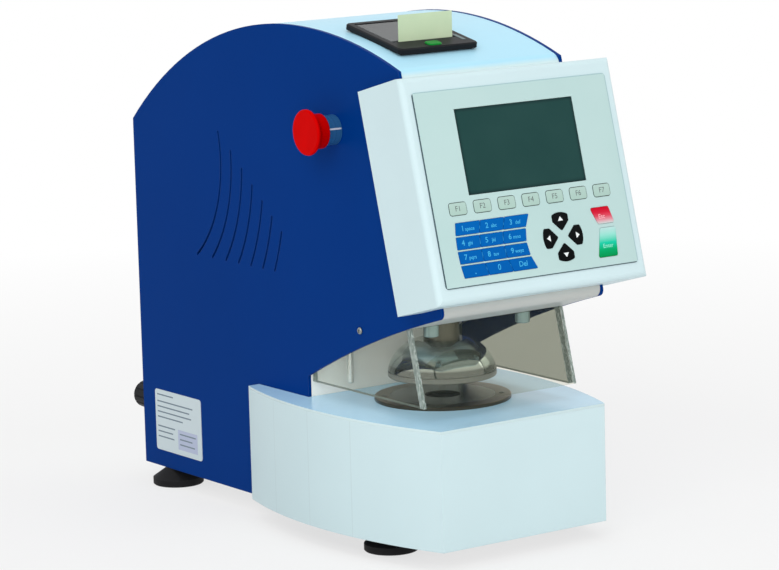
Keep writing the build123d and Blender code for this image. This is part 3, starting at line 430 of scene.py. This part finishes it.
def circuit_board():
    """Green board with tracks and tinned pads."""
    track_pitch, row_pitch, pad_pitch = 3 * mm, 5 * mm, 2.54 * mm

    finish = Finish("circuit_board", Specular_IOR_Level=0.5)
    x, up = face_place(finish)
    tracks = abs((x * (2 * pi / track_pitch)).wave()) < 0.22
    rows = abs((up * (2 * pi / row_pitch)).wave()) < 0.18
    patch = finish.noise(11 * mm, 1) > 0.52
    copper = tracks * patch + rows * (1 - patch)
    tone = finish.mix((0.015, 0.13, 0.05), (0.05, 0.26, 0.1), copper)
    cells = finish.add("ShaderNodeTexVoronoi", {}, {"Vector": finish.point, "Scale": 1 / pad_pitch})
    pads = cells < 0.16
    finish.set("Base Color", finish.mix(tone, (0.7, 0.7, 0.66), pads * 0.9))
    finish.set("Metallic", pads)
    finish.set("Roughness", 0.3 + 0.15 * patch)
    finish.relief(copper, 0.04 * mm, None, 0.6)
    return finish.material


def clear_sheet():
    """Clear acrylic, faintly smoky, with its sawn edges and glued joints frosted and streaked, the
    bright streaks being painted glints.
    """
    glue_depth, line_depth = 4.5 * mm, 0.4 * mm

    finish = Finish("clear_acrylic", Specular_IOR_Level=0.5)
    nx, ny, nz = finish.facing()
    x, y, z = finish.axes()
    depth = (y - guard_front - (z - guard_level) * tan(face_tilt)) * cos(face_tilt)
    front = depth < front_pane
    across = abs(nx) > 0.5
    cheek = abs(x) > side_pane
    sawn = front * across + (1 - front) * cheek * (1 - across)
    glued = front * cheek * (depth > glue_depth) * (1 - across)
    glued = glued + (depth < line_depth) * (abs(x) > edge_band)
    sawn = (sawn + glued + front * (nz < -0.9)).rise(0, 1)
    streak = finish.noise(0.9 * mm, 3, (1, 1, 0.1))
    haze = finish.noise(60 * mm, 3)
    # Bright streaks on the frosted edges: painted glints
    painted_glint = streak.rise(0.48, 0.7)
    finish.set("Base Color", finish.mix(srgb(126, 140, 132), srgb(232, 242, 236), painted_glint * 0.8))
    finish.set("Roughness", 0.06 + 0.3 * sawn)
    finish.relief(streak * sawn, 0.05 * mm, None, 0.4)
    clear, smoky = finish.pane((0.96, 0.96, 0.93)), finish.pane((0.62, 0.63, 0.59))
    side = finish.blend(clear, smoky, x > 0)
    through = finish.blend(side, finish.pane((0.94, 0.94, 0.9)), front)
    glance = finish.add("ShaderNodeLayerWeight", {}, {"Blend": 0.35}, out="Facing")
    solid = (0.015 + 0.03 * haze + glance ** 5 * 0.35 + sawn * 0.8).rise(0, 1)
    finish.show(finish.blend(through, finish.solid, solid))
    return finish.material


def bell_steel():
    """Bright turned bell, with bands of painted reflection round it and painted shade at its foot
    and in its dish, over a dark ground clamping ring.
    """
    ring_top = 147 * mm
    dish_radius, dish_low = 30 * mm, 150 * mm
    foot_low, foot_high = 151.5 * mm, 155 * mm

    finish = Finish("bell_steel")
    x, y, z = finish.axes()
    radius = span(x, y - clamp_y)
    ring = z < ring_top
    dish = (radius < dish_radius) * (z > dish_low)
    turned = finish.rings(0.9 * mm, radius, z)
    # Lighter and darker bands of painted reflection round the dome
    reflection_bands = finish.rings(4 * mm, z + radius * 0.4, detail=2.0)
    bright = finish.mix((0.5, 0.55, 0.53), (0.74, 0.8, 0.77), reflection_bands.rise(0.35, 0.65))
    # Painted shade in the dish round the spindle
    bright = finish.mix(bright, (0.5, 0.52, 0.48), dish * 0.7)
    # Painted shade on the foot of the dome
    bright = finish.mix(bright, (0.2, 0.21, 0.2), 1 - z.rise(foot_low, foot_high))
    ground = finish.mix((0.2, 0.2, 0.18), (0.29, 0.28, 0.25), turned)
    finish.set("Base Color", finish.mix(bright, ground, ring))
    finish.set("Metallic", 0.92 - 0.49 * ring)
    finish.set("Roughness", 0.05 + 0.05 * turned + 0.25 * ring)
    finish.relief(turned, 0.006 * mm, finish.rounded(0.4 * mm), 0.5)
    return finish.material


def plate_steel():
    """Faced clamp plate: a dark middle under the bell, a painted shade of the bell, inside a
    browner rim, with a fine line between them.
    """
    bell_shade_radius, line_radius, rim_radius = 46 * mm, 46.5 * mm, 47 * mm
    edge_radius = 60.3 * mm

    finish = Finish("plate_steel", Metallic=1.0)
    x, y, z = finish.axes()
    radius = span(x, y - clamp_y)
    turned = finish.rings(0.8 * mm, radius)
    rim = radius.rise(bell_shade_radius, rim_radius)
    line = 1 - abs(radius - line_radius).rise(0.2 * mm, 0.6 * mm)
    # Painted shade of the bell darkens the middle of the plate under it
    middle = finish.mix((0.1, 0.1, 0.085), (0.15, 0.15, 0.125), turned)
    tone = finish.mix(middle, (0.19, 0.165, 0.12), rim)
    dark = (line + (radius > edge_radius)).rise(0, 1)
    finish.set("Base Color", finish.mix(tone, (0.03, 0.03, 0.025), dark * 0.7))
    finish.set("Roughness", 0.16 + 0.12 * turned + 0.1 * rim)
    finish.relief(turned, 0.012 * mm, finish.rounded(0.4 * mm), 0.5)
    return finish.material


def smoked_sheet():
    """Dark see-through door of the printer."""
    finish = Finish("smoked_plastic", Specular_IOR_Level=0.5)
    eased = finish.rounded(0.5 * mm)
    haze = finish.noise(12 * mm, 3)
    finish.set("Base Color", finish.mix((0.03, 0.036, 0.04), (0.06, 0.07, 0.075), haze))
    finish.set("Roughness", 0.15 + 0.15 * haze)
    finish.set("Alpha", 0.78 + 0.1 * haze)
    finish.relief(haze, 0.02 * mm, eased, 0.4)
    return finish.material


def paper_finish():
    """Thermal paper: soft tooth and a slow drift in tone."""
    finish = Finish("paper", Specular_IOR_Level=0.2)
    fibre = finish.noise(0.8 * mm, 4, (1, 1, 3))
    drift = finish.noise(20 * mm, 2)
    tooth = drift * 0.6 + fibre * 0.4
    finish.set("Base Color", finish.mix(srgb(190, 212, 176), srgb(212, 228, 194), tooth))
    finish.set("Roughness", 0.7 + 0.15 * fibre)
    finish.relief(fibre, 0.02 * mm, None, 0.5)
    return finish.material


def ink(name, colour):
    """Screen printed ink with a fine grain."""
    finish = Finish(name, Specular_IOR_Level=0.3)
    grain = finish.noise(0.4 * mm, 2)
    finish.set("Base Color", finish.mix(shade(colour, 0.9), shade(colour, 1.05), grain))
    finish.set("Roughness", 0.4 + 0.1 * grain)
    finish.relief(grain, 0.01 * mm, None, 0.4)
    return finish.material


pale_blue = srgb(206, 228, 232)
pad_blue = srgb(0, 105, 190)

# Colours up each kind of key, from its foot to its top
grey_fade = (srgb(175, 204, 194), srgb(182, 209, 201))
blue_fade = (srgb(0, 94, 176), srgb(0, 100, 182))
black_fade = (srgb(8, 10, 11), srgb(14, 16, 17))
red_fade = (
    srgb(208, 218, 218),
    srgb(226, 150, 162),
    srgb(222, 78, 98),
    srgb(212, 34, 60),
    srgb(206, 16, 42),
)
green_fade = (
    srgb(2, 144, 74),
    srgb(4, 170, 104),
    srgb(30, 206, 168),
    srgb(150, 226, 210),
    srgb(190, 226, 224),
)

finishes = {
    "blue_paint": painted(
        "blue_paint", srgb(0, 53, 128), gloss=0.02, ease=0.6 * mm, wear=0.15, tint=(0.02, 0.25, 1.0)
    ),
    "white_paint": painted("white_paint", pale_blue),
    "overlay_print": overlay_print(),
    "display": display_glass(),
    "circuit_board": circuit_board(),
    "machined_aluminium": brushed(
        "machined_aluminium", (0.62, 0.63, 0.64), roughness=0.3, grain=0.7 * mm, stretch=(1, 8, 8)
    ),
    "polished_steel": turned_steel(
        "polished_steel", (0.34, 0.34, 0.31), "z", clamp_axis, roughness=0.12
    ),
    "machined_steel": brushed(
        "machined_steel", (0.5, 0.5, 0.51), roughness=0.3, grain=0.6 * mm, stretch=(1, 6, 6)
    ),
    "black_rubber": moulded(
        "black_rubber",
        (0.008, 0.008, 0.009),
        roughness=0.6,
        grain=0.9 * mm,
        depth=0.06 * mm,
        gloss=0.18,
    ),
    "motor_paint": painted("motor_paint", (0.03, 0.03, 0.035), roughness=0.4, gloss=0.3, wear=0.35),
    "bronze": turned_steel("bronze", (0.5, 0.33, 0.14), "y", pump_axis, roughness=0.3),
    "clear_acrylic": clear_sheet(),
    "stop_red": moulded(
        "stop_red", srgb(208, 0, 0), roughness=0.35, depth=0.02 * mm, gloss=0.02, ease=0.8 * mm
    ),
    "black_plastic": moulded(
        "black_plastic", (0.008, 0.009, 0.011), roughness=0.4, grain=0.6 * mm, depth=0.03 * mm
    ),
    "smoked_plastic": smoked_sheet(),
    "paper": paper_finish(),
    "grey_key": key_top("grey_key", grey_fade, 74 * mm, 84 * mm),
    "blue_key": key_top("blue_key", blue_fade, 20 * mm, 67 * mm),
    "black_key": key_top("black_key", black_fade, 20 * mm, 67 * mm),
    "red_key": key_top("red_key", red_fade, 49.8 * mm, 63 * mm),
    "green_key": key_top("green_key", green_fade, 21 * mm, 46 * mm),
}
for node in nodes.values():
    for slot in node.material_slots:
        slot.material = finishes[slot.material.name.split(".")[0]]


def dress(name, material):
    """Gives one CAD piece a finish of its own."""
    for slot in nodes[name].material_slots:
        slot.material = material


stop_low, stop_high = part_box("stop_button")
stop_middle = (stop_low + stop_high) / 2

skirt_paint = painted("skirt_paint", pale_blue, lines=bend_lines)
# The tops of the table and the cover are tinted sky blue, painted light from above; their upright
# faces keep the plain paint given as sides
sky_lit_table_paint = painted(
    "sky_lit_table_paint", srgb(184, 226, 250), roughness=0.16, gloss=0.3, sides=srgb(206, 226, 228)
)
sky_lit_cover_paint = painted("sky_lit_cover_paint", srgb(178, 228, 248), sides=srgb(216, 236, 238))
# Greyer copy of the white paint under the head: painted shade on the fascia
shaded_fascia_paint = painted("shaded_fascia_paint", srgb(196, 198, 194), roughness=0.35, gloss=0.2)
# Brighter copy of the white paint in the throat: painted light on the throat wall
lit_wall_paint = painted("lit_wall_paint", srgb(240, 240, 234), roughness=0.35, gloss=0.2)
# The stop's steel collar, tinted blue: a painted reflection of the blue side plate
collar_steel_blue_reflection = turned_steel(
    "stop_collar_blue_reflection", (0.05, 0.23, 0.46), "x", stop_middle, roughness=0.25, metal=0.5
)
spindle_steel = turned_steel(
    "spindle_steel", (0.16, 0.155, 0.13), "z", clamp_axis, roughness=0.28
)
rod_steel = turned_steel("rod_steel", (0.86, 0.88, 0.84), "z", origin, roughness=0.24, metal=0.7)
guard_screw_steel = turned_steel(
    "guard_screw_steel", (0.33, 0.45, 0.48), "z", origin, roughness=0.3, metal=0.8
)
dress("base_skirt", skirt_paint)
dress("work_table", sky_lit_table_paint)
dress("top_rear_cover", sky_lit_cover_paint)
dress("front_fascia", shaded_fascia_paint)
dress("throat_wall", lit_wall_paint)
dress("stop_base", collar_steel_blue_reflection)
dress("lower_clamp_plate", plate_steel())
dress("clamp_bell", bell_steel())
dress("clamp_spindle", spindle_steel)
dress("guide_rods", rod_steel)
dress("guard_screws", guard_screw_steel)


def piece(name, work, material, body):
    """Turns a bmesh into a finished piece that rides on one of the CAD bodies."""
    mesh = bpy.data.meshes.new(name)
    bmesh.ops.recalc_face_normals(work, faces=work.faces)
    work.to_mesh(mesh)
    work.free()
    mesh.materials.append(material)
    made = bpy.data.objects.new(name, mesh)
    bpy.context.scene.collection.objects.link(made)
    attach(made, body)
    return made


def smooth(made, angle):
    made.data.polygons.foreach_set("use_smooth", [True] * len(made.data.polygons))
    made.data.set_sharp_from_angle(angle=radians(angle))


def skin(work, rings):
    """Closes rows of points into a solid: faces between the rings and one over each end."""
    for low, high in zip(rings, rings[1:]):
        for step in range(len(low)):
            after = (step + 1) % len(low)
            work.faces.new((low[step], low[after], high[after], high[step]))
    work.faces.new(rings[0])
    work.faces.new(rings[-1])


def rounded_outline(half_width, half_height, corner, reach, steps):
    """Points round a rectangle, with an arc of radius reach about the centre of each corner."""
    points = []
    for side, end, start in ((1, 1, 0), (-1, 1, 90), (-1, -1, 180), (1, -1, 270)):
        for step in range(steps + 1):
            turn = radians(start + step * 90 / steps)
            x = side * (half_width - corner) + reach * cos(turn)
            y = end * (half_height - corner) + reach * sin(turn)
            points.append((x, y))
    return points


def rounded_plate(
    name, place, across, up, width, height, thickness, corner, bevel, material, body
):
    """A thin plate with rounded corners and a softened front edge, lying on a surface."""
    out = across.cross(up)
    work = bmesh.new()
    rings = []
    for inset, level in ((0, 0), (0, thickness - bevel), (bevel, thickness)):
        outline = rounded_outline(width / 2, height / 2, corner, corner - inset, 8)
        rings.append(
            [work.verts.new(Vector(place) + across * x + up * y + out * level) for x, y in outline]
        )
    skin(work, rings)
    smooth(piece(name, work, material, body), 30)


def socket_screw(name, place, outward, head, height, body):
    """Button-head screw with a hexagon socket, turned from its profile."""
    steps = 36
    r = head / 2
    # Radius, height and, in the socket, the number of flats
    profile = [
        (r, 0.0, 0),
        (r, height * 0.3, 0),
        (r * 0.93, height * 0.66, 0),
        (r * 0.76, height * 0.9, 0),
        (r * 0.55, height, 0),
        (r * 0.5, height, 6),
        (r * 0.46, height * 0.35, 6),
        (r * 0.05, height * 0.2, 0),
    ]
    out = Vector(outward)
    above = Vector((0, 1, 0)) if abs(out.z) > 0.99 else Vector((0, 0, 1))
    across = above.cross(out)
    up = out.cross(across)
    work = bmesh.new()
    rings = []
    for radius, level, flats in profile:
        ring = []
        for step in range(steps):
            turn = 2 * pi * step / steps
            reach = radius
            if flats:
                reach *= cos(pi / flats) / cos(turn % (2 * pi / flats) - pi / flats)
            side = across * reach * cos(turn) + up * reach * sin(turn)
            ring.append(work.verts.new(Vector(place) + side + out * level))
        rings.append(ring)
    skin(work, rings)
    smooth(piece(name, work, screw_steel, body), 35)


def on_face(x, up, level):
    """A point on the sloping face: across from its middle, up from its foot and out of it."""
    return face_foot + face_right * x + face_up * up + face_out * level


def lettering(name, words, body, material):
    """Printed legend, a film's thickness above its key. Each word is (text, x, up, size, bold)."""
    turn = Matrix((face_right, face_up, face_out)).transposed().to_4x4()
    work = bmesh.new()
    for text, x, up, size, bold in words:
        line = bpy.data.curves.new(name, "FONT")
        line.body = text
        line.size = size
        line.offset = bold
        line.align_x = "CENTER"
        line.align_y = "CENTER"
        line.resolution_u = 4
        carrier = bpy.data.objects.new(name, line)
        flat = bpy.data.meshes.new_from_object(carrier)
        flat.transform(Matrix.Translation(on_face(x, up, key_level)) @ turn)
        work.from_mesh(flat)
        bpy.data.objects.remove(carrier)
        bpy.data.curves.remove(line)
        bpy.data.meshes.remove(flat)
    piece(name, work, material, body)


def box_outline(left, right, low, high):
    return [(left, low), (right, low), (right, high), (left, high)]


def printed_shapes(name, outlines, body, material, level, place=on_face):
    """Flat printed shapes on a surface, given as outlines of (x, up)."""
    work = bmesh.new()
    for outline in outlines:
        work.faces.new([work.verts.new(place(x, up, level)) for x, up in outline])
    piece(name, work, material, body)


def printed_rings(name, places, corner, line, body, material, level):
    """Printed outlines round rounded keys, each place being (x, up, half width, half height)."""
    work = bmesh.new()
    for x, up, wide, tall in places:
        inner, outer = (
            [
                work.verts.new(on_face(x + across, up + rise, level))
                for across, rise in rounded_outline(wide, tall, corner, corner + reach, 6)
            ]
            for reach in (0.0, line)
        )
        for step in range(len(inner)):
            after = (step + 1) % len(inner)
            work.faces.new((inner[step], outer[step], outer[after], inner[after]))
    piece(name, work, material, body)


grey_ink = ink("grey_ink", srgb(96, 104, 104))
line_ink = ink("line_ink", srgb(40, 54, 52))
cyan_ink = ink("cyan_ink", srgb(60, 176, 226))
pink_ink = ink("pink_ink", srgb(244, 176, 184))
white_ink = ink("white_ink", srgb(238, 244, 244))
green_ink = ink("green_ink", srgb(150, 236, 212))


def key_place(name):
    """Where the middle of a key lies on the face."""
    low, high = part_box(name)
    middle = (low + high) / 2 - face_foot
    return middle.x, middle.dot(face_up)


# Legends and outlines of the function keys
function_size = 6.4 * mm
function_half_height = 5.1 * mm
outline_corner, outline_line = 2.2 * mm, 0.6 * mm
outlines = []
for number in range(1, 8):
    key = f"function_key_{number}"
    low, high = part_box(key)
    x, up = key_place(key)
    words = [(f"F{number}", x, up, function_size, 0.0)]
    lettering(f"{key}_legend", words, f"{key}_cap", grey_ink)
    outlines.append((x, up, (high.x - low.x) / 2, function_half_height))
printed_rings(
    "function_key_outlines", outlines, outline_corner, outline_line, "frame", line_ink, film_level
)

# Digits with the small groups of letters that such pads have
digit_size, digit_left = 6.4 * mm, 5.4 * mm
group_size, group_right, group_drop = 4.4 * mm, 1.8 * mm, 0.6 * mm
letters = {
    1: "space",
    2: "abc",
    3: "def",
    4: "ghi",
    5: "jkl",
    6: "mno",
    7: "pqrs",
    8: "tuv",
    9: "wxyz",
}
for number, group in letters.items():
    key = f"number_key_{number}"
    x, up = key_place(key)
    words = [
        (str(number), x - digit_left, up, digit_size, 0.1 * mm),
        (group, x + group_right, up - group_drop, group_size, 0.08 * mm),
    ]
    lettering(f"{key}_legend", words, f"{key}_cap", cyan_ink)
for key, text, size in (
    ("point_key", ".", 9.0 * mm),
    ("number_key_0", "0", 6.8 * mm),
    ("delete_key", "Del", 6.4 * mm),
):
    x, up = key_place(key)
    lettering(f"{key}_legend", [(text, x, up, size, 0.06 * mm)], f"{key}_cap", cyan_ink)

# Short lines between the number keys of each row, from the lowest row up
pad_rows = (
    ("point_key", "number_key_0", "delete_key"),
    ("number_key_7", "number_key_8", "number_key_9"),
    ("number_key_4", "number_key_5", "number_key_6"),
    ("number_key_1", "number_key_2", "number_key_3"),
)
divider_half = 0.3 * mm
divider_inset = 2.6 * mm
dividers = []
for row, keys in enumerate(pad_rows):
    low = number_low + row * row_step + divider_inset
    high = low + row_step - number_gap - 2 * divider_inset
    for before, after in zip(keys, keys[1:]):
        gap = (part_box(before)[1].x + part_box(after)[0].x) / 2
        dividers.append(box_outline(gap - divider_half, gap + divider_half, low, high))
printed_shapes("number_pad_dividers", dividers, "frame", cyan_ink, film_level)

# Arrow heads, measured from the middle of the four arrow keys
arrow_x, arrow_up = 27.0 * mm, 43.4 * mm
arrow_tip, arrow_foot, arrow_half = 17.6 * mm, 13.8 * mm, 2.7 * mm
for way, turn in (("right", 0), ("up", 90), ("left", 180), ("down", 270)):
    key = f"arrow_key_{way}"
    outline = []
    for reach, side in ((arrow_tip, 0.0), (arrow_foot, arrow_half), (arrow_foot, -arrow_half)):
        a = radians(turn)
        x = arrow_x + reach * cos(a) - side * sin(a)
        up = arrow_up + reach * sin(a) + side * cos(a)
        outline.append((x, up))
    printed_shapes(f"{key}_mark", [outline], f"{key}_cap", white_ink, key_level)

x, up = key_place("escape_key")
words = [("Esc", x - 1 * mm, up - 1 * mm, 5.4 * mm, 0.1 * mm)]
lettering("escape_key_legend", words, "escape_key_cap", pink_ink)
x, up = key_place("enter_key")
words = [("Enter", x, up - 3.2 * mm, 5.0 * mm, 0.03 * mm)]
lettering("enter_key_legend", words, "enter_key_cap", green_ink)

# Blank rating plate on the left side plate
rating_y, rating_z = 179 * mm, 61.2 * mm
rounded_plate(
    "rating_plate",
    place=(plate_outside, rating_y, rating_z),
    across=Vector((0, -1, 0)),
    up=Vector((0, 0, 1)),
    width=80 * mm,
    height=58.5 * mm,
    thickness=0.7 * mm,
    corner=3 * mm,
    bevel=0.2 * mm,
    material=painted(
        "rating_plate_lacquer",
        srgb(206, 220, 224),
        roughness=0.35,
        gloss=0.3,
        ease=0.2 * mm,
        wear=0.1,
    ),
    body="frame",
)


def on_rating_plate(across, rise, level):
    """A point on the rating plate, in millimetres from its middle, level over the side plate."""
    return Vector((plate_outside - level, rating_y - across * mm, rating_z + rise * mm))


# Bare lines in place of its text, each from left to right at a height, in millimetres
rule_half = 0.65
rules = (
    (-36, -8, 24.5),
    (-36, 26, 18),
    (-36, 20, 13),
    (-36, 23, 8),
    (-36, 8, 3),
    (-36, -6, -6),
    (-36, -10, -11),
    (-36, -8, -16),
    (2, 30, -9),
    (2, 24, -14),
    (2, 28, -19),
)
printed_shapes(
    "rating_plate_rules",
    [box_outline(left, right, rise - rule_half, rise + rule_half) for left, right, rise in rules],
    "frame",
    ink("rule_ink", srgb(118, 136, 148)),
    0.76 * mm,
    on_rating_plate,
)
printed_shapes(
    "rating_plate_panel",
    [box_outline(-1, 33, -24, -5)],
    "frame",
    ink("panel_ink", srgb(186, 196, 220)),
    0.73 * mm,
    on_rating_plate,
)

# Screws beside the throat and in the clamp plate
screw_steel = turned_steel(
    "screw_steel", (0.3, 0.31, 0.3), "y", origin, roughness=0.25, pitch=0.6 * mm
)
beam_screw = (plate_outside, -124.5 * mm, 191.8 * mm)
plate_top = 124 * mm
plate_screws = ((-42.4 * mm, -93.9 * mm, plate_top), (42.4 * mm, -154.1 * mm, plate_top))
socket_screw("beam_screw", beam_screw, (-1, 0, 0), head=6.4 * mm, height=1.8 * mm, body="frame")
for number, place in enumerate(plate_screws, 1):
    name = f"plate_screw_{number}"
    socket_screw(name, place, (0, 0, 1), head=4.6 * mm, height=0.5 * mm, body="frame")

# Small pieces of the printer, on its own sloping top
printer_tilt = radians(11.936)
printer_middle = Vector((-24, -123, 440.451)) * mm
printer_across = Vector((1, 0, 0))
printer_up = Vector((0, cos(printer_tilt), sin(printer_tilt)))
printer_out = printer_across.cross(printer_up)


def on_printer(x, y, level):
    """A point on the printer's top, in millimetres from its middle."""
    return printer_middle + (printer_across * x + printer_up * y + printer_out * level) * mm


rounded_plate(
    "printer_lamp",
    place=on_printer(-2, -34.4, 5),
    across=printer_across,
    up=printer_up,
    width=14.6 * mm,
    height=9.8 * mm,
    thickness=1.3 * mm,
    corner=3.6 * mm,
    bevel=0.7 * mm,
    material=moulded("lamp_green", srgb(0, 132, 44), ease=0.4 * mm),
    body="frame",
)
rounded_plate(
    "printer_window_strip",
    place=on_printer(33.4, -24, 5),
    across=printer_across,
    up=printer_up,
    width=3.6 * mm,
    height=15 * mm,
    thickness=0.3 * mm,
    corner=0.6 * mm,
    bevel=0.1 * mm,
    material=moulded("strip_grey", srgb(92, 112, 114), gloss=0.3),
    body="frame",
)

# Locating tab on the collar of the emergency stop, made bright as a painted highlight along the
# collar
tab_turn = radians(10)
tab_out = Vector((0, -cos(tab_turn), sin(tab_turn)))
tab_middle = -94 * mm
tab_radius = 13.1 * mm
rounded_plate(
    "stop_highlight_tab",
    place=Vector((tab_middle, stop_middle.y, stop_middle.z)) + tab_out * tab_radius,
    across=Vector((1, 0, 0)),
    up=Vector((0, sin(tab_turn), cos(tab_turn))),
    width=12.5 * mm,
    height=1.5 * mm,
    thickness=0.25 * mm,
    corner=0.3 * mm,
    bevel=0.05 * mm,
    material=turned_steel(
        "tab_nickel_highlight", (0.92, 0.95, 0.97), "x", stop_middle, roughness=0.25, metal=0.2
    ),
    body="frame",
)


def white_floor():
    """White paper that keeps the shadow near the part and turns to pure white farther off."""
    half_size = 9.0
    level = -0.2 * mm
    shadow_radius, white_radius = 0.5, 1.6
    near_glow = 0.68

    work = bmesh.new()
    for x, y in box_outline(-half_size, half_size, -half_size, half_size):
        work.verts.new((x, y, level))
    work.faces.new(work.verts)
    mesh = bpy.data.meshes.new("floor")
    work.to_mesh(mesh)
    work.free()
    floor = bpy.data.objects.new("floor", mesh)
    bpy.context.scene.collection.objects.link(floor)
    finish = Finish("floor_paper", Specular_IOR_Level=0.0, Roughness=0.9)
    finish.set("Base Color", (0.82, 0.82, 0.82))
    camera_ray = finish.add("ShaderNodeLightPath", out="Is Camera Ray")
    glossy_ray = finish.add("ShaderNodeLightPath", out="Is Glossy Ray")
    through_ray = finish.add("ShaderNodeLightPath", out="Is Transmission Ray")
    seen = (camera_ray + glossy_ray + through_ray).rise(0, 1)
    x, y, z = finish.axes()
    away = span(x, y).rise(shadow_radius, white_radius)
    glow = finish.add("ShaderNodeEmission", {}, {"Color": (1, 1, 1, 1), "Strength": 1.0})
    finish.show(finish.blend(finish.solid, glow, seen * (near_glow + (1 - near_glow) * away)))
    mesh.materials.append(finish.material)


def white_room():
    """A white world, at full strength where it is seen and at half strength as a light."""
    world = bpy.data.worlds.new("studio")
    bpy.context.scene.world = world
    world.use_nodes = True
    tree = world.node_tree
    background = tree.nodes["Background"]
    path = tree.nodes.new("ShaderNodeLightPath")
    straight = tree.nodes.new("ShaderNodeMath")
    straight.operation = "ADD"
    seen = tree.nodes.new("ShaderNodeMath")
    seen.operation = "ADD"
    seen.use_clamp = True
    strength = tree.nodes.new("ShaderNodeMapRange")
    strength.inputs["To Min"].default_value = 0.5
    strength.inputs["To Max"].default_value = 1.0
    tree.links.new(path.outputs["Is Camera Ray"], straight.inputs[0])
    tree.links.new(path.outputs["Is Glossy Ray"], straight.inputs[1])
    tree.links.new(straight.outputs[0], seen.inputs[0])
    tree.links.new(path.outputs["Is Transmission Ray"], seen.inputs[1])
    tree.links.new(seen.outputs[0], strength.inputs["Value"])
    tree.links.new(strength.outputs[0], background.inputs["Strength"])
    background.inputs["Color"].default_value = (1, 1, 1, 1)


# Name, place and size in metres, and power in watts
lamps = (
    ("left_softbox", (-2.2, -1.6, 1.9), 1.6, 26),
    ("front_softbox", (0.6, -3.2, 1.6), 1.8, 16),
    ("low_softbox", (-2.0, -2.5, 0.4), 1.2, 24),
    ("right_softbox", (2.6, -0.6, 1.4), 1.6, 10),
    ("top_softbox", (0.0, 0.4, 2.6), 2.0, 16),
    ("throat_light", (-0.14, -0.2, 0.33), 0.12, 0.22),
)
lamp_aim = Vector((0, -0.05, 0.2))
not_mirrored = ("front_softbox", "low_softbox", "throat_light")
lit_alone = {
    "throat_light": [
        "throat_wall",
        "work_table",
        "guide_rods",
        "right_side_plate",
        "lower_clamp_plate",
        "clamp_bell",
        "clamp_spindle",
        "guard_screws",
    ]
}
left_unlit = {"left_softbox": ["clamp_bell"], "right_softbox": ["work_table"]}
shadow_makers = {"throat_light": ["work_table", "clamp_bell"]}


def light_group(name, pieces, state):
    """A group of pieces that a lamp's linking takes in or leaves out."""
    group = bpy.data.collections.new(f"{name}_pieces")
    for each in pieces:
        group.objects.link(nodes[each])
    for entry in group.collection_objects:
        entry.light_linking.link_state = state
    return group


def soft_lights():
    for name, place, size, power in lamps:
        light = bpy.data.lights.new(name, "AREA")
        light.size = size
        light.energy = power
        lamp = bpy.data.objects.new(name, light)
        bpy.context.scene.collection.objects.link(lamp)
        lamp.location = place
        lamp.visible_glossy = name not in not_mirrored
        lamp.rotation_euler = (Vector(place) - lamp_aim).to_track_quat("Z", "Y").to_euler()
        linking = lamp.light_linking
        if name in lit_alone:
            linking.receiver_collection = light_group(name, lit_alone[name], "INCLUDE")
        if name in left_unlit:
            linking.receiver_collection = light_group(name, left_unlit[name], "EXCLUDE")
        if name in shadow_makers:
            linking.blocker_collection = light_group(name, shadow_makers[name], "INCLUDE")


def camera():
    """The photo's camera, as solved from the edges and corners in it."""
    yaw, pitch, roll = radians(35.41), radians(9.94), radians(-1.49)
    place = (-1.76222, -2.53570, 0.73118)
    forward = Vector((sin(yaw) * cos(pitch), cos(yaw) * cos(pitch), -sin(pitch)))
    level = Vector((cos(yaw), -sin(yaw), 0))
    above = level.cross(forward)
    right = level * cos(roll) + above * sin(roll)
    up = above * cos(roll) - level * sin(roll)
    lens = bpy.data.cameras.new("camera")
    lens.sensor_fit = "HORIZONTAL"
    lens.sensor_width = 36
    lens.lens = 159.575
    lens.shift_x = -0.0088
    lens.shift_y = 0.0212
    lens.clip_end = 40
    view = bpy.data.objects.new("camera", lens)
    bpy.context.scene.collection.objects.link(view)
    turn = Matrix((right, up, -forward)).transposed().to_4x4()
    view.matrix_world = Matrix.Translation(place) @ turn
    bpy.context.scene.camera = view


white_floor()
white_room()
soft_lights()
camera()
bpy.context.scene.view_settings.view_transform = "Standard"
